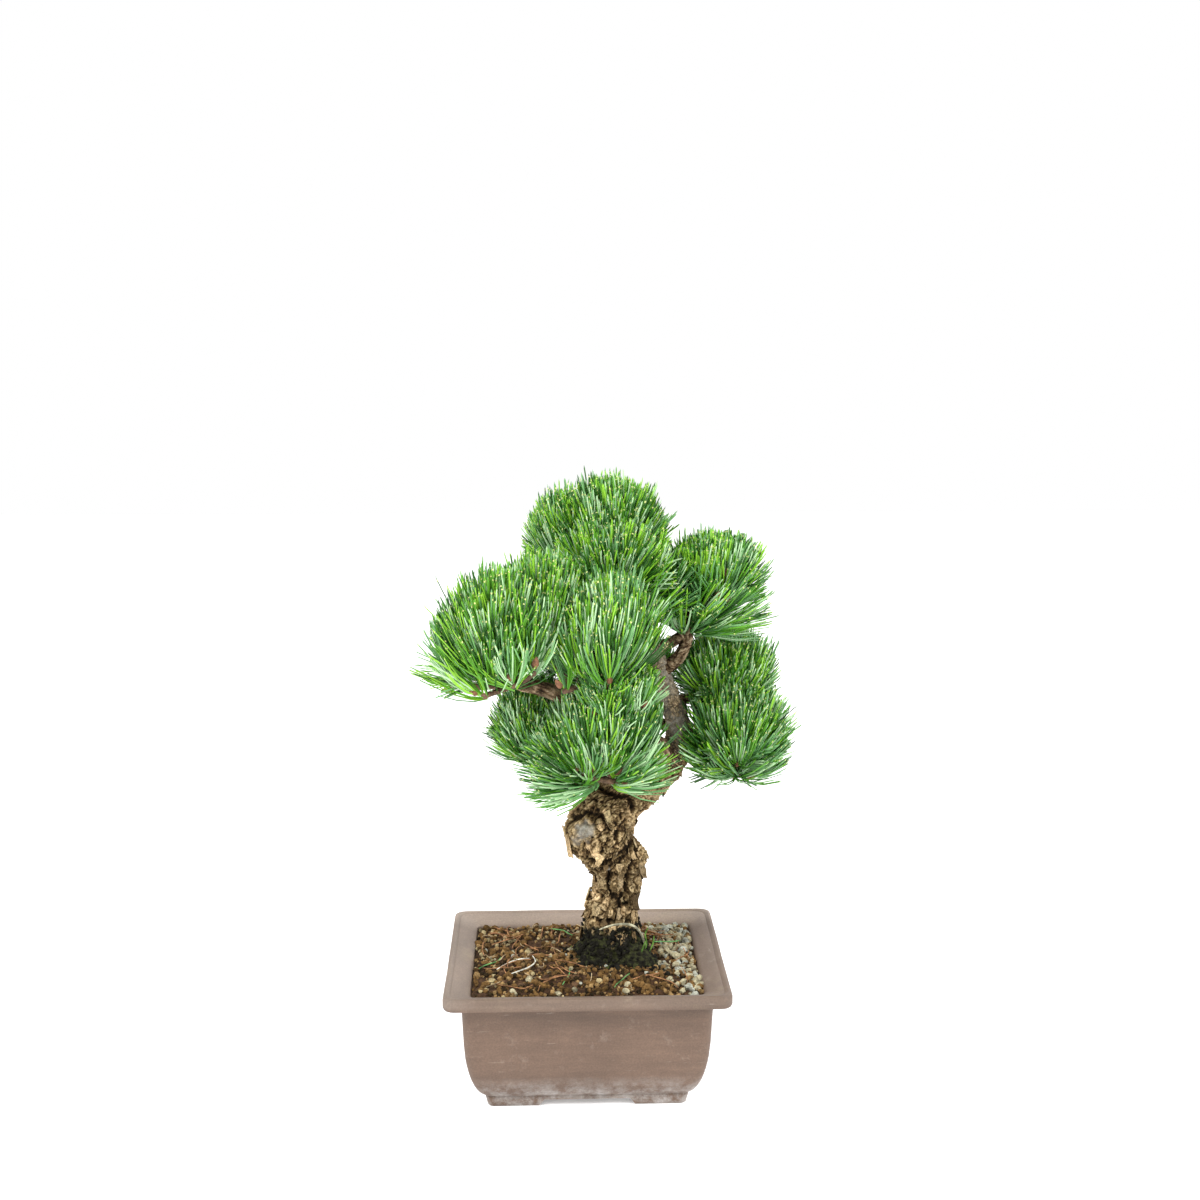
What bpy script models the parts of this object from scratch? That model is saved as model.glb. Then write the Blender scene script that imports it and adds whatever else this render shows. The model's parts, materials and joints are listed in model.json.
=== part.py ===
"""Japanese white pine bonsai in a rectangular unglazed clay pot.

Lengths are in millimetres, measured from the middle of the pot's foot, and become metres when a
mesh is made. X runs to the right, Y to the back and Z up. The finished plant is moved so that the
origin lies on the ground under the middle of its whole spread.
"""

import math
import random

import bmesh
import bpy
from mathutils import Matrix, Vector, geometry, noise

MM = 0.001
GAP = 0.3
SLEEVE = 0.35
MERGE_DISTANCE = 0.002
UP = Vector((0.0, 0.0, 1.0))
GOLDEN_ANGLE = math.pi * (3.0 - math.sqrt(5.0))
SEED = 7

# Where the pot stands under the spread of the plant
POT_MIDDLE = Vector((-17.9, 2.7, 0.0))

# Pot
POT_LENGTH = 180.0
POT_DEPTH = 150.0
POT_HEIGHT = 84.5
LIP_OVERHANG = 10.8
LIP_HEIGHT = 9.0
BEAD_WIDTH = 4.6
RIM_WIDTH = 16.6
RIM_DROP = 5.4
BODY_TAPER = 0.045
BELLY_TOP = 48.0
BELLY_FALL = 40.0
BELLY_TUCK = 12.8
FOOT_BAND = 7.6
FOOT_HEIGHT = 4.8
FOOT_LENGTH = 35.5
FOOT_DEPTH = 29.0
FOOT_SPLAY = 3.6
WALL = 6.6
FLOOR_TOP = 14.0
CORNER_RADIUS = 7.0
CORNER_STEPS = 4
DRAIN_RADIUS = 8.0
DRAIN_SPACING = 62.0

# Soil
GROUND = 80.0
SOIL_EDGE = POT_HEIGHT - RIM_DROP - 2.2
MOUND_SLOPE = 0.45
LUMP_SPACING = 10.0
LUMP_HEIGHT = 2.4
LUMP_MARGIN = 4.0
FOOT_SIDES = 40
FOOT_MARGIN = 1.5

# Trunk: middle of each station and its radius, from the ground to the tip
TRUNK = (
    (18.0, 5.0, GROUND, 22.0),
    (17.0, 5.0, 92.0, 18.6),
    (16.5, 5.0, 104.0, 16.8),
    (18.0, 5.0, 117.0, 16.4),
    (21.0, 4.0, 134.0, 15.0),
    (17.5, 0.0, 151.0, 17.5),
    (11.5, -2.5, 168.0, 18.5),
    (16.0, -1.5, 184.5, 18.5),
    (32.0, 3.5, 196.0, 15.5),
    (49.0, 9.0, 205.5, 12.2),
    (59.5, 12.5, 218.0, 9.6),
    (62.5, 13.0, 233.0, 8.1),
    (55.5, 11.0, 251.0, 7.8),
    (49.0, 9.0, 267.0, 7.0),
    (45.0, 8.0, 282.0, 6.4),
    (42.0, 7.0, 297.0, 5.4),
    (35.0, 7.0, 312.0, 4.6),
    (27.0, 7.0, 327.0, 3.8),
    (22.0, 7.0, 343.0, 3.0),
)
TRUNK_STEPS = 2
BARK_STEPS = 3
TRUNK_ROUNDNESS = 8
# Swellings of the trunk: place, height of the swelling and its spread
SWELLINGS = (
    ((-7.0, -8.0, 171.0), 7.0, 13.0),
    ((37.0, -2.0, 150.0), 5.0, 9.0),
    ((1.0, -4.0, 152.0), 3.0, 8.0),
    ((34.0, 2.0, 187.0), 2.5, 8.0),
    ((34.0, -6.0, 122.0), 2.0, 8.0),
    ((2.0, -6.0, 112.0), 1.5, 8.0),
)
# Surface roots: compass angle in degrees and how far each swells past the flare
ROOTS = ((-38.0, 15.0), (28.0, 4.0), (95.0, 4.0), (160.0, 5.0), (228.0, 4.0))
ROOT_SPREAD = 9.0
FLARE_TOP = 102.0
BARK_RELIEF = 1.5
BARK_SCALE = 8.0
RELIEF_FADE = 90.0
# Broad lumps and hollows of the old bark, from a little above the ground
BARK_LUMP = 1.8
LUMP_SCALE = 13.0
LUMP_START = 20.0

# Boughs: limb each one leaves, how far along that limb, its tip, the arch of its middle, and its
# radius where it leaves and at its tip
BOUGHS = {
    "bough_left": ("trunk", 0.525, (-45.5, -48.0, 279.0), (14.0, -16.0, 8.0), 7.2, 4.4),
    "bough_left_riser": ("bough_left", 0.72, (-23.0, -40.0, 298.0), (1.0, 0.0, 0.0), 4.4, 3.0),
    "bough_front": ("bough_left", 0.62, (-4.0, -54.0, 278.0), (-2.0, -3.0, -2.0), 3.8, 2.8),
    "bough_front_low": ("bough_left", 0.50, (6.0, -53.0, 257.0), (-2.0, -2.0, -3.0), 3.6, 2.6),
    "bough_lower_front": ("trunk", 0.455, (-4.0, -46.0, 218.0), (6.0, -6.0, 2.0), 5.0, 3.0),
    "bough_lower_left": ("trunk", 0.415, (-28.0, -17.0, 221.0), (2.0, -3.0, 3.0), 4.8, 2.8),
    "bough_right_lower": ("trunk", 0.575, (93.5, 8.0, 206.5), (5.5, 0.0, -12.0), 5.4, 3.2),
    "bough_right_middle": ("trunk", 0.665, (86.0, 22.0, 247.0), (0.0, 2.0, 3.0), 3.8, 2.6),
    "bough_right_upper": ("trunk", 0.745, (67.5, 5.0, 309.0), (5.0, 0.0, -6.0), 5.2, 3.2),
    "bough_top_front": ("trunk", 0.885, (19.0, -11.0, 324.0), (0.0, -2.0, -3.0), 3.2, 2.4),
    "bough_top_left": ("trunk", 0.925, (-4.0, 17.0, 340.0), (0.0, 0.0, -3.0), 3.0, 2.3),
    "bough_back_left": ("trunk", 0.430, (-14.0, 38.0, 264.0), (-6.0, 6.0, 0.0), 5.2, 2.8),
    "bough_back_low": ("trunk", 0.600, (32.0, 44.0, 240.0), (2.0, 4.0, -4.0), 4.6, 2.8),
    "bough_back_high": ("trunk", 0.710, (34.0, 38.0, 298.0), (0.0, 4.0, -3.0), 3.8, 2.6),
}
BOUGH_POINTS = 10
BOUGH_ROUNDNESS = 1

# Masses of foliage: the limb that carries each one, and its dome: the middle of the widest level, the
# half sizes there along X and Y, and how far it rises and falls from there
MASSES = {
    "foliage_left": ("bough_left", (-52.5, -52.0, 289.5), (44.0, 36.0), 58.5, 19.0),
    "foliage_left_upper": ("bough_left_riser", (-25.5, -38.0, 311.0), (31.5, 30.0), 44.0, 18.0),
    "foliage_front": ("bough_front", (13.0, -50.0, 288.0), (36.5, 34.0), 54.0, 29.0),
    "foliage_front_low": ("bough_front_low", (21.5, -50.0, 265.0), (30.0, 28.0), 23.0, 22.0),
    "foliage_lower_front": ("bough_lower_front", (10.5, -42.0, 232.5), (41.5, 32.0), 42.0, 28.5),
    "foliage_lower_left": ("bough_lower_left", (-31.5, -20.0, 240.0), (28.0, 30.0), 32.0, 24.5),
    "foliage_right_lower": ("bough_right_lower", (98.5, 5.0, 228.5), (34.0, 33.0), 36.5, 29.0),
    "foliage_right_middle": ("bough_right_middle", (95.0, 22.0, 262.5), (34.0, 31.0), 35.0, 20.0),
    "foliage_right_upper": ("bough_right_upper", (84.0, 5.0, 337.0), (32.0, 32.0), 25.0, 36.0),
    "foliage_top_front": ("bough_top_front", (17.5, -14.0, 342.0), (36.0, 29.0), 32.0, 23.5),
    "foliage_top": ("trunk", (16.0, 8.0, 352.5), (37.0, 31.0), 42.0, 20.5),
    "foliage_top_left": ("bough_top_left", (-11.0, 18.0, 349.0), (27.0, 27.0), 37.5, 17.0),
    "foliage_back_left": ("bough_back_left", (-22.0, 40.0, 283.0), (33.0, 30.0), 36.0, 24.0),
    "foliage_back_low": ("bough_back_low", (28.0, 54.0, 256.0), (34.0, 30.0), 34.0, 22.0),
    "foliage_back_high": ("bough_back_high", (30.0, 50.0, 312.0), (35.0, 29.0), 37.0, 22.0),
}
CELL_MARGIN = 0.05
LIMB_MARGIN = 1.2
ROOM_STEP = 1.5
STEM_SHARE = 0.75
SHORTEST_STEM = 9.0
STEM_TIP_RADIUS = 1.9
STEM_STIFFNESS = 1.6
TWIG_RADIUS = 1.4
TWIG_ZONE = 0.6
SHORTEST_TWIG = 4.5
SPRAY_DEPTH = 33.0
SPRAY_SPACING = 0.18
TWIGS = 14
TWIG_FAN = math.radians(100.0)
NEEDLE_LENGTH = 45.0
NEEDLE_SPREAD = math.radians(88.0)
NEEDLE_ONWARD = 0.35
NEEDLE_LIFT = 0.25
SHORTEST_NEEDLE = 12.0
CORE_RADIUS = 4.6

# Colour, roughness and metallic value of each material
MATERIALS = {
    "clay": ((0.285, 0.205, 0.155), 0.82, 0.0),
    "soil": ((0.105, 0.055, 0.028), 0.95, 0.0),
    "bark": ((0.165, 0.115, 0.075), 0.92, 0.0),
    "young_bark": ((0.170, 0.105, 0.065), 0.88, 0.0),
    "needles": ((0.085, 0.260, 0.060), 0.55, 0.0),
    "blue_needles": ((0.120, 0.255, 0.130), 0.55, 0.0),
}


def clear_scene():
    """Removes every object of the open scene."""
    for thing in list(bpy.data.objects):
        bpy.data.objects.remove(thing, do_unlink=True)


def new_collection(name):
    """A new collection, linked to the scene."""
    collection = bpy.data.collections.new(name)
    bpy.context.scene.collection.children.link(collection)
    return collection


def make_material(name):
    """A Principled material from the table above."""
    colour, roughness, metallic = MATERIALS[name]
    material = bpy.data.materials.new(name)
    material.use_nodes = True
    shader = material.node_tree.nodes["Principled BSDF"]
    shader.inputs["Base Color"].default_value = (*colour, 1.0)
    shader.inputs["Roughness"].default_value = roughness
    shader.inputs["Metallic"].default_value = metallic
    material.diffuse_color = (*colour, 1.0)
    return material


def mesh_from(bm, name):
    """Turns a bmesh in millimetres into a mesh in metres, with its faces pointing out."""
    bmesh.ops.recalc_face_normals(bm, faces=bm.faces)
    bmesh.ops.triangulate(bm, faces=bm.faces)
    mesh = bpy.data.meshes.new(name)
    bm.to_mesh(mesh)
    bm.free()
    mesh.transform(Matrix.Scale(MM, 4) @ Matrix.Translation(POT_MIDDLE))
    mesh.update()
    return mesh


def place(name, mesh, collection, material=None):
    """Puts a mesh in a collection as a named object."""
    thing = bpy.data.objects.new(name, mesh)
    collection.objects.link(thing)
    if material:
        mesh.materials.clear()
        mesh.materials.append(material)
    return thing


def evaluated_mesh(thing):
    """A copy of an object's mesh with its modifiers applied."""
    graph = bpy.context.evaluated_depsgraph_get()
    return bpy.data.meshes.new_from_object(thing.evaluated_get(graph))


def largest_shell(mesh):
    """Keeps a mesh's largest closed shell, which fills sealed hollows and drops loose scraps."""
    bm = bmesh.new()
    bm.from_mesh(mesh)
    waiting = set(bm.verts)
    shells = []
    while waiting:
        shell = {waiting.pop()}
        front = list(shell)
        while front:
            corner = front.pop()
            for edge in corner.link_edges:
                other = edge.other_vert(corner)
                if other not in shell:
                    shell.add(other)
                    front.append(other)
        waiting -= shell
        shells.append(shell)
    biggest = max(shells, key=len)
    spare = [corner for corner in bm.verts if corner not in biggest]
    bmesh.ops.delete(bm, geom=spare, context="VERTS")
    bmesh.ops.triangulate(bm, faces=bm.faces)
    bmesh.ops.remove_doubles(bm, verts=bm.verts, dist=MERGE_DISTANCE * MM)
    bm.to_mesh(mesh)
    bm.free()
    mesh.update()


def cut(thing, cutters, operation="DIFFERENCE"):
    """Applies one Boolean between an object and a collection, then removes its objects."""
    modifier = thing.modifiers.new("Boolean", "BOOLEAN")
    modifier.operation = operation
    modifier.operand_type = "COLLECTION"
    modifier.collection = cutters
    modifier.solver = "EXACT"
    result = evaluated_mesh(thing)
    thing.modifiers.remove(modifier)
    old = thing.data
    materials = list(old.materials)
    thing.data = result
    bpy.data.meshes.remove(old)
    result.materials.clear()
    for material in materials:
        result.materials.append(material)
    for cutter in list(cutters.objects):
        bpy.data.objects.remove(cutter, do_unlink=True)
    largest_shell(result)


def rounded_rectangle(half_x, half_y, radius, z):
    """Points round a rectangle with rounded corners."""
    points = []
    for quarter, (side_x, side_y) in enumerate(((1, 1), (-1, 1), (-1, -1), (1, -1))):
        for step in range(CORNER_STEPS + 1):
            angle = math.pi / 2 * (quarter + step / CORNER_STEPS)
            x = side_x * (half_x - radius) + radius * math.cos(angle)
            y = side_y * (half_y - radius) + radius * math.sin(angle)
            points.append(Vector((x, y, z)))
    return points


def inset_ring(inset, z):
    """The pot's outline drawn in by a distance."""
    radius = max(CORNER_RADIUS - 0.12 * inset, 3.0)
    return rounded_rectangle(POT_LENGTH / 2 - inset, POT_DEPTH / 2 - inset, radius, z)


def loft(rings, lid=True):
    """A solid through rings of equal counts, with a flat floor and a flat lid."""
    bm = bmesh.new()
    rows = [[bm.verts.new(point) for point in ring] for ring in rings]
    for lower, upper in zip(rows, rows[1:]):
        for index in range(len(lower)):
            after = (index + 1) % len(lower)
            bm.faces.new((lower[index], lower[after], upper[after], upper[index]))
    bm.faces.new(reversed(rows[0]))
    if lid:
        bm.faces.new(rows[-1])
    return bm


def body_inset(z):
    """How far the pot's outer wall stands in from the rim's edge at a height."""
    top = POT_HEIGHT - LIP_HEIGHT
    inset = LIP_OVERHANG + BODY_TAPER * (top - z)
    if z < BELLY_TOP:
        fall = (BELLY_TOP - z) / BELLY_FALL
        inset += BELLY_TUCK * (1.0 - math.sqrt(max(1.0 - fall * fall, 0.0)))
    return inset


def pot_outside():
    """Inset and height of the outer profile, from the foot to the bead of the rim."""
    foot = body_inset(FOOT_BAND + 1.2)
    under = POT_HEIGHT - LIP_HEIGHT
    profile = [
        (foot + 3.0, 0.0),
        (foot + 2.2, 0.8),
        (foot + 0.9, FOOT_BAND - 0.9),
        (foot + 1.2, FOOT_BAND),
    ]
    for height in (9.2, 12.0, 16.0, 21.0, 28.0, 38.0, BELLY_TOP, 62.0, under - 4.5):
        profile.append((body_inset(height), height))
    profile += [
        (LIP_OVERHANG - 0.6, under - 2.0),
        (LIP_OVERHANG - 2.6, under - 0.6),
        (2.2, under),
        (0.6, under + 0.8),
        (0.0, under + 2.4),
        (0.0, POT_HEIGHT - 2.0),
        (0.6, POT_HEIGHT - 0.7),
        (2.2, POT_HEIGHT),
        (BEAD_WIDTH - 0.8, POT_HEIGHT - 0.4),
    ]
    return profile


def pot_inside():
    """Inset and height of the inner profile, from the groove of the rim to the floor."""
    edge = POT_HEIGHT - RIM_DROP
    profile = [
        (BEAD_WIDTH, POT_HEIGHT - 1.2),
        (BEAD_WIDTH + 0.8, POT_HEIGHT - 1.1),
        (RIM_WIDTH - 2.6, edge + 0.9),
        (RIM_WIDTH - 0.7, edge - 0.4),
        (RIM_WIDTH, SOIL_EDGE),
    ]
    return profile + pot_cavity()


def pot_cavity(gap=0.0):
    """Inset and height of the wall below the soil's edge, drawn in by a gap."""
    profile = []
    for height in (66.0, BELLY_TOP, 34.0, 24.0):
        profile.append((body_inset(height) + WALL + gap, height))
    profile.append((body_inset(24.0) + WALL + 6.0 + gap, FLOOR_TOP + gap))
    return profile


def build_pot(collection, cutters, material):
    """The clay pot: a lofted shell on four corner feet, with two drain holes."""
    rings = [inset_ring(inset, z) for inset, z in pot_outside() + pot_inside()]
    pot = place("pot", mesh_from(loft(rings), "pot"), collection, material)
    foot_edge = body_inset(FOOT_BAND + 1.2) + 3.0
    gap_x = POT_LENGTH / 2 - foot_edge - FOOT_LENGTH
    gap_y = POT_DEPTH / 2 - foot_edge - FOOT_DEPTH
    for name, half, axis in (("gap_front", gap_x, 0), ("gap_side", gap_y, 1)):
        bm = bmesh.new()
        bmesh.ops.create_cube(bm, size=2.0)
        for corner in bm.verts:
            above = corner.co.z > 0
            reach = half if above else half + FOOT_SPLAY * 2
            wide = corner.co[axis] * reach
            long = corner.co[1 - axis] * POT_LENGTH
            z = FOOT_HEIGHT if above else -FOOT_HEIGHT
            corner.co = (wide, long, z) if axis == 0 else (long, wide, z)
        place(name, mesh_from(bm, name), cutters)
    for side in (-1, 1):
        bm = bmesh.new()
        middle = Matrix.Translation((side * DRAIN_SPACING / 2, 0.0, FLOOR_TOP / 2))
        bmesh.ops.create_cone(
            bm,
            cap_ends=True,
            segments=16,
            radius1=DRAIN_RADIUS,
            radius2=DRAIN_RADIUS,
            depth=FLOOR_TOP * 2,
            matrix=middle,
        )
        place("drain", mesh_from(bm, "drain"), cutters)
    cut(pot, cutters)
    return pot


def root_swellings():
    """Place, height and spread of the swelling that each surface root makes in the flare."""
    middle = Vector(TRUNK[0][:3])
    swellings = []
    for angle, push in ROOTS:
        way = Vector((math.cos(math.radians(angle)), math.sin(math.radians(angle)), 0.0))
        swellings.append((middle + way * TRUNK[0][3], push, ROOT_SPREAD))
    return swellings


def foot_reach(way):
    """How far the trunk's foot reaches on the ground in a direction, with its surface roots."""
    middle = Vector(TRUNK[0][:3])
    reach = TRUNK[0][3]
    for root, push, spread in root_swellings():
        away = (middle + way * TRUNK[0][3] - root).length / spread
        reach += push * math.exp(-away * away)
    return reach


def soil_level(x, y):
    """The height of the soil's low mound at a place, without its lumps."""
    half_x = POT_LENGTH / 2 - RIM_WIDTH - GAP
    half_y = POT_DEPTH / 2 - RIM_WIDTH - GAP
    share = (1.0 - max(abs(x) / half_x, abs(y) / half_y)) / MOUND_SLOPE
    share = min(max(share, 0.0), 1.0)
    return SOIL_EDGE + (GROUND - GAP - SOIL_EDGE) * share * share * (3.0 - 2.0 * share)


def soil_lumps():
    """Crests and hollows in turn, between the soil's edge and the trunk's foot."""
    dice = random.Random(SEED)
    middle = Vector(TRUNK[0][:3])
    half_x = POT_LENGTH / 2 - RIM_WIDTH - LUMP_MARGIN
    half_y = POT_DEPTH / 2 - RIM_WIDTH - LUMP_MARGIN
    columns = int(half_x / LUMP_SPACING)
    rows = int(half_y / LUMP_SPACING)
    points = []
    for row in range(-rows, rows + 1):
        for column in range(-columns, columns + 1):
            x = half_x * (column + dice.uniform(-0.25, 0.25)) / (columns + 0.25)
            y = half_y * (row + dice.uniform(-0.25, 0.25)) / (rows + 0.25)
            crest = (row + column) % 2
            rise = LUMP_HEIGHT * (dice.uniform(0.6, 1.0) if crest else dice.uniform(-0.4, 0.1))
            away = Vector((x, y, middle.z)) - middle
            if away.length > foot_reach(away.normalized()) + LUMP_MARGIN:
                points.append(Vector((x, y, soil_level(x, y) + rise)))
    return points


def build_soil(collection, material):
    """The soil: it fills the pot, rises in a low lumpy mound and is level under the trunk."""
    rings = [inset_ring(inset, z) for inset, z in reversed(pot_cavity(GAP))]
    edge = inset_ring(RIM_WIDTH + GAP, SOIL_EDGE)
    foot = []
    for side in range(FOOT_SIDES):
        way = Matrix.Rotation(math.tau * side / FOOT_SIDES, 3, "Z") @ Vector((1.0, 0.0, 0.0))
        point = Vector(TRUNK[0][:3]) + way * (foot_reach(way) + FOOT_MARGIN)
        foot.append(point - GAP * UP)
    bm = loft(rings + [edge], lid=False)
    corners = list(bm.verts)[-len(edge):]
    corners += [bm.verts.new(point) for point in foot + soil_lumps()]
    loops = [(side, (side + 1) % len(edge)) for side in range(len(edge))]
    loops += [(len(edge) + side, len(edge) + (side + 1) % len(foot)) for side in range(len(foot))]
    flat = [corner.co.to_2d() for corner in corners]
    triangles, origins = geometry.delaunay_2d_cdt(flat, loops, [], 0, MERGE_DISTANCE)[2:4]
    for triangle in triangles:
        bm.faces.new([corners[origins[index][0]] for index in triangle])
    return place("soil", mesh_from(bm, "soil"), collection, material)


def catmull_rom(points, steps):
    """A smooth line through points that may carry a radius as a fourth number."""
    line = []
    last = len(points) - 1
    for index in range(last):
        before = points[max(index - 1, 0)]
        after = points[min(index + 2, last)]
        here, there = points[index], points[index + 1]
        for step in range(steps):
            t = step / steps
            line.append(
                tuple(
                    0.5
                    * (
                        2 * b
                        + (c - a) * t
                        + (2 * a - 5 * b + 4 * c - d) * t * t
                        + (3 * b - a - 3 * c + d) * t * t * t
                    )
                    for a, b, c, d in zip(before, here, there, after)
                )
            )
    line.append(points[last])
    return line


class Limb:
    """A tapering limb along a line of middles and radii."""

    def __init__(self, middles, radii):
        self.middles = [Vector(middle) for middle in middles]
        self.radii = list(radii)

    def at(self, share):
        """The middle of the limb at a share of its length."""
        lengths = [(b - a).length for a, b in zip(self.middles, self.middles[1:])]
        left = share * sum(lengths)
        for index, length in enumerate(lengths):
            if left <= length:
                return self.middles[index].lerp(self.middles[index + 1], left / length)
            left -= length
        return self.middles[-1].copy()

    def tip_direction(self):
        """The way the limb points at its tip."""
        return (self.middles[-1] - self.middles[-2]).normalized()

    def clearance(self, point):
        """The distance from a point to the limb's surface."""
        nearest = 1e9
        pairs = zip(self.middles, self.middles[1:], self.radii, self.radii[1:])
        for start, end, thick, thin in pairs:
            along = end - start
            t = (point - start).dot(along) / along.length_squared
            t = min(max(t, 0.0), 1.0)
            radius = thick + (thin - thick) * t
            nearest = min(nearest, (point - start - along * t).length - radius)
        return nearest


def limb_mesh(limb, name, resolution):
    """A closed mesh of a limb, made as a bevelled curve with welded caps."""
    curve = bpy.data.curves.new(name, "CURVE")
    curve.dimensions = "3D"
    curve.bevel_depth = 1.0
    curve.bevel_resolution = resolution
    curve.use_fill_caps = True
    spline = curve.splines.new("POLY")
    spline.points.add(len(limb.middles) - 1)
    for point, middle, radius in zip(spline.points, limb.middles, limb.radii):
        point.co = (*middle, 1.0)
        point.radius = radius
    thing = bpy.data.objects.new(name, curve)
    bpy.context.scene.collection.objects.link(thing)
    mesh = evaluated_mesh(thing)
    bpy.data.objects.remove(thing, do_unlink=True)
    bpy.data.curves.remove(curve)
    bm = bmesh.new()
    bm.from_mesh(mesh)
    bpy.data.meshes.remove(mesh)
    bmesh.ops.remove_doubles(bm, verts=bm.verts, dist=0.001)
    return bm


def shape_trunk(bm):
    """Gives the bare trunk its swellings, its surface roots and a little bark relief."""
    middle = Vector(TRUNK[0][:3])
    bm.normal_update()
    moves = []
    for corner in bm.verts:
        fade = min((TRUNK[-1][2] - corner.co.z) / RELIEF_FADE, 1.0)
        push = BARK_RELIEF * max(fade, 0.0) * noise.noise(corner.co / BARK_SCALE)
        above = min(max((corner.co.z - GROUND) / LUMP_START, 0.0), 1.0)
        push += BARK_LUMP * above * max(fade, 0.0) * noise.noise(corner.co / LUMP_SCALE)
        for spot, height, spread in list(SWELLINGS) + root_swellings():
            away = (corner.co - Vector(spot)).length / spread
            push += height * math.exp(-away * away)
        way = corner.normal.copy()
        if corner.co.z < FLARE_TOP:
            level = (corner.co - middle).to_2d().to_3d().normalized()
            way = level.lerp(way, (corner.co.z - GROUND) / (FLARE_TOP - GROUND))
        moves.append((corner, way.normalized() * push))
    for corner, move in moves:
        corner.co += move
    return bm


def sleeve(mesh, name, collection):
    """A copy of a limb's mesh, thicker by the gap, to cut its branches free with."""
    bm = bmesh.new()
    bm.from_mesh(mesh)
    bm.normal_update()
    for corner in bm.verts:
        corner.co += corner.normal * SLEEVE * MM
    copy = bpy.data.meshes.new(name)
    bm.to_mesh(copy)
    bm.free()
    cutter = place(name, copy, collection)
    cutter.hide_render = True
    cutter.display_type = "WIRE"
    return cutter


def trunk_limb(steps):
    """The trunk's smooth line, which leaves the ground straight up."""
    line = catmull_rom(TRUNK, steps)
    foot = TRUNK[0]
    line.insert(1, (foot[0], foot[1], foot[2] + 2.0, foot[3] - 0.4))
    return Limb([point[:3] for point in line], [point[3] for point in line])


def bough_limb(limbs, parent, share, tip, arch, thick, thin):
    """A bough from inside its parent to its tip, arched at its middle."""
    start = limbs[parent].at(share)
    tip = Vector(tip)
    bend = start.lerp(tip, 0.5) + 2.0 * Vector(arch)
    middles = []
    radii = []
    for index in range(BOUGH_POINTS):
        t = index / (BOUGH_POINTS - 1)
        middles.append((1 - t) ** 2 * start + 2 * t * (1 - t) * bend + t * t * tip)
        radii.append(thick + (thin - thick) * t ** 0.8)
    return Limb(middles, radii)


def build_limbs(collection, cutters, materials):
    """The trunk and the boughs, each cut clear of the limb that it leaves."""
    limbs = {"trunk": trunk_limb(TRUNK_STEPS)}
    bare = shape_trunk(limb_mesh(trunk_limb(BARK_STEPS), "trunk", TRUNK_ROUNDNESS))
    meshes = {"trunk": mesh_from(bare, "trunk")}
    place("trunk", meshes["trunk"], collection, materials["bark"])
    for name, (parent, share, tip, arch, thick, thin) in BOUGHS.items():
        limbs[name] = bough_limb(limbs, parent, share, tip, arch, thick, thin)
        meshes[name] = mesh_from(limb_mesh(limbs[name], name, BOUGH_ROUNDNESS), name)
        bough = place(name, meshes[name], collection, materials["young_bark"])
        sleeve(meshes[parent], "sleeve", cutters)
        cut(bough, cutters)
        meshes[name] = bough.data
    return limbs


class Space:
    """The room of one mass of foliage among its neighbours and the limbs."""

    def __init__(self, name, limbs, stems):
        self.name = name
        self.limbs = limbs
        self.stems = stems

    def reach(self, point, name):
        """How far out a point lies in a mass's dome: 0 at its middle and 1 at its edge."""
        middle, half, rise, fall = MASSES[name][1:]
        away = point - Vector(middle)
        return Vector((away.x / half[0], away.y / half[1], away.z / (rise if away.z > 0 else fall))).length

    def holds(self, point, radius):
        """Whether a round thing at a point stays in this mass's own space, clear of limbs."""
        own = self.reach(point, self.name)
        if own > 1.0:
            return False
        for other in MASSES:
            if other != self.name and self.reach(point, other) < own + CELL_MARGIN:
                return False
        for limb in self.limbs.values():
            if limb.clearance(point) < radius + LIMB_MARGIN:
                return False
        for name, limb in self.stems.items():
            if name != self.name and limb.clearance(point) < radius + LIMB_MARGIN:
                return False
        return True

    def room(self, start, way, radius, limit, skip):
        """How far a round thing can go from a point before it leaves the space."""
        length = skip
        while length < limit and self.holds(start + way * length, radius):
            length += ROOM_STEP
        return length - ROOM_STEP


def turned(axis, tilt, spin):
    """A direction tilted off an axis, at an angle round it."""
    side = axis.cross(UP if abs(axis.z) < 0.9 else Vector((1.0, 0.0, 0.0))).normalized()
    other = axis.cross(side)
    away = side * math.cos(spin) + other * math.sin(spin)
    return (axis * math.cos(tilt) + away * math.sin(tilt)).normalized()


def fan(axis, count, spread, start):
    """Directions spread evenly over a cap round an axis, in a golden-angle spiral."""
    ways = []
    for index in range(count):
        share = (index + 0.35) / count
        tilt = math.acos(1.0 - share * (1.0 - math.cos(spread)))
        ways.append(turned(axis, tilt, start + index * GOLDEN_ANGLE))
    return ways


def rod(start, end, thick, thin, sides):
    """A straight tapering rod between two points; a thin end of 0 is a point."""
    bm = bmesh.new()
    way = end - start
    frame = Matrix.Translation(start.lerp(end, 0.5)) @ way.to_track_quat("Z", "Y").to_matrix().to_4x4()
    bmesh.ops.create_cone(
        bm,
        cap_ends=True,
        segments=sides,
        radius1=thick,
        radius2=thin,
        depth=way.length,
        matrix=frame,
    )
    return bm


def stem_limb(carrier, middle):
    """A mass's stem: it goes straight on from its limb's tip, a gap clear of it."""
    way = carrier.tip_direction()
    start = carrier.middles[-1] + way * GAP
    towards = Vector(middle) - start
    length = max(STEM_SHARE * towards.length, SHORTEST_STEM)
    onward = way * STEM_STIFFNESS + towards.normalized()
    knee = start + onward.normalized() * SHORTEST_STEM / 2
    end = knee + (Vector(middle) - knee).normalized() * (length - SHORTEST_STEM / 2)
    thick = carrier.radii[-1]
    return Limb([start, start + way * 2.0, knee, end], [thick, thick, thick * 0.8, STEM_TIP_RADIUS])


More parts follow.
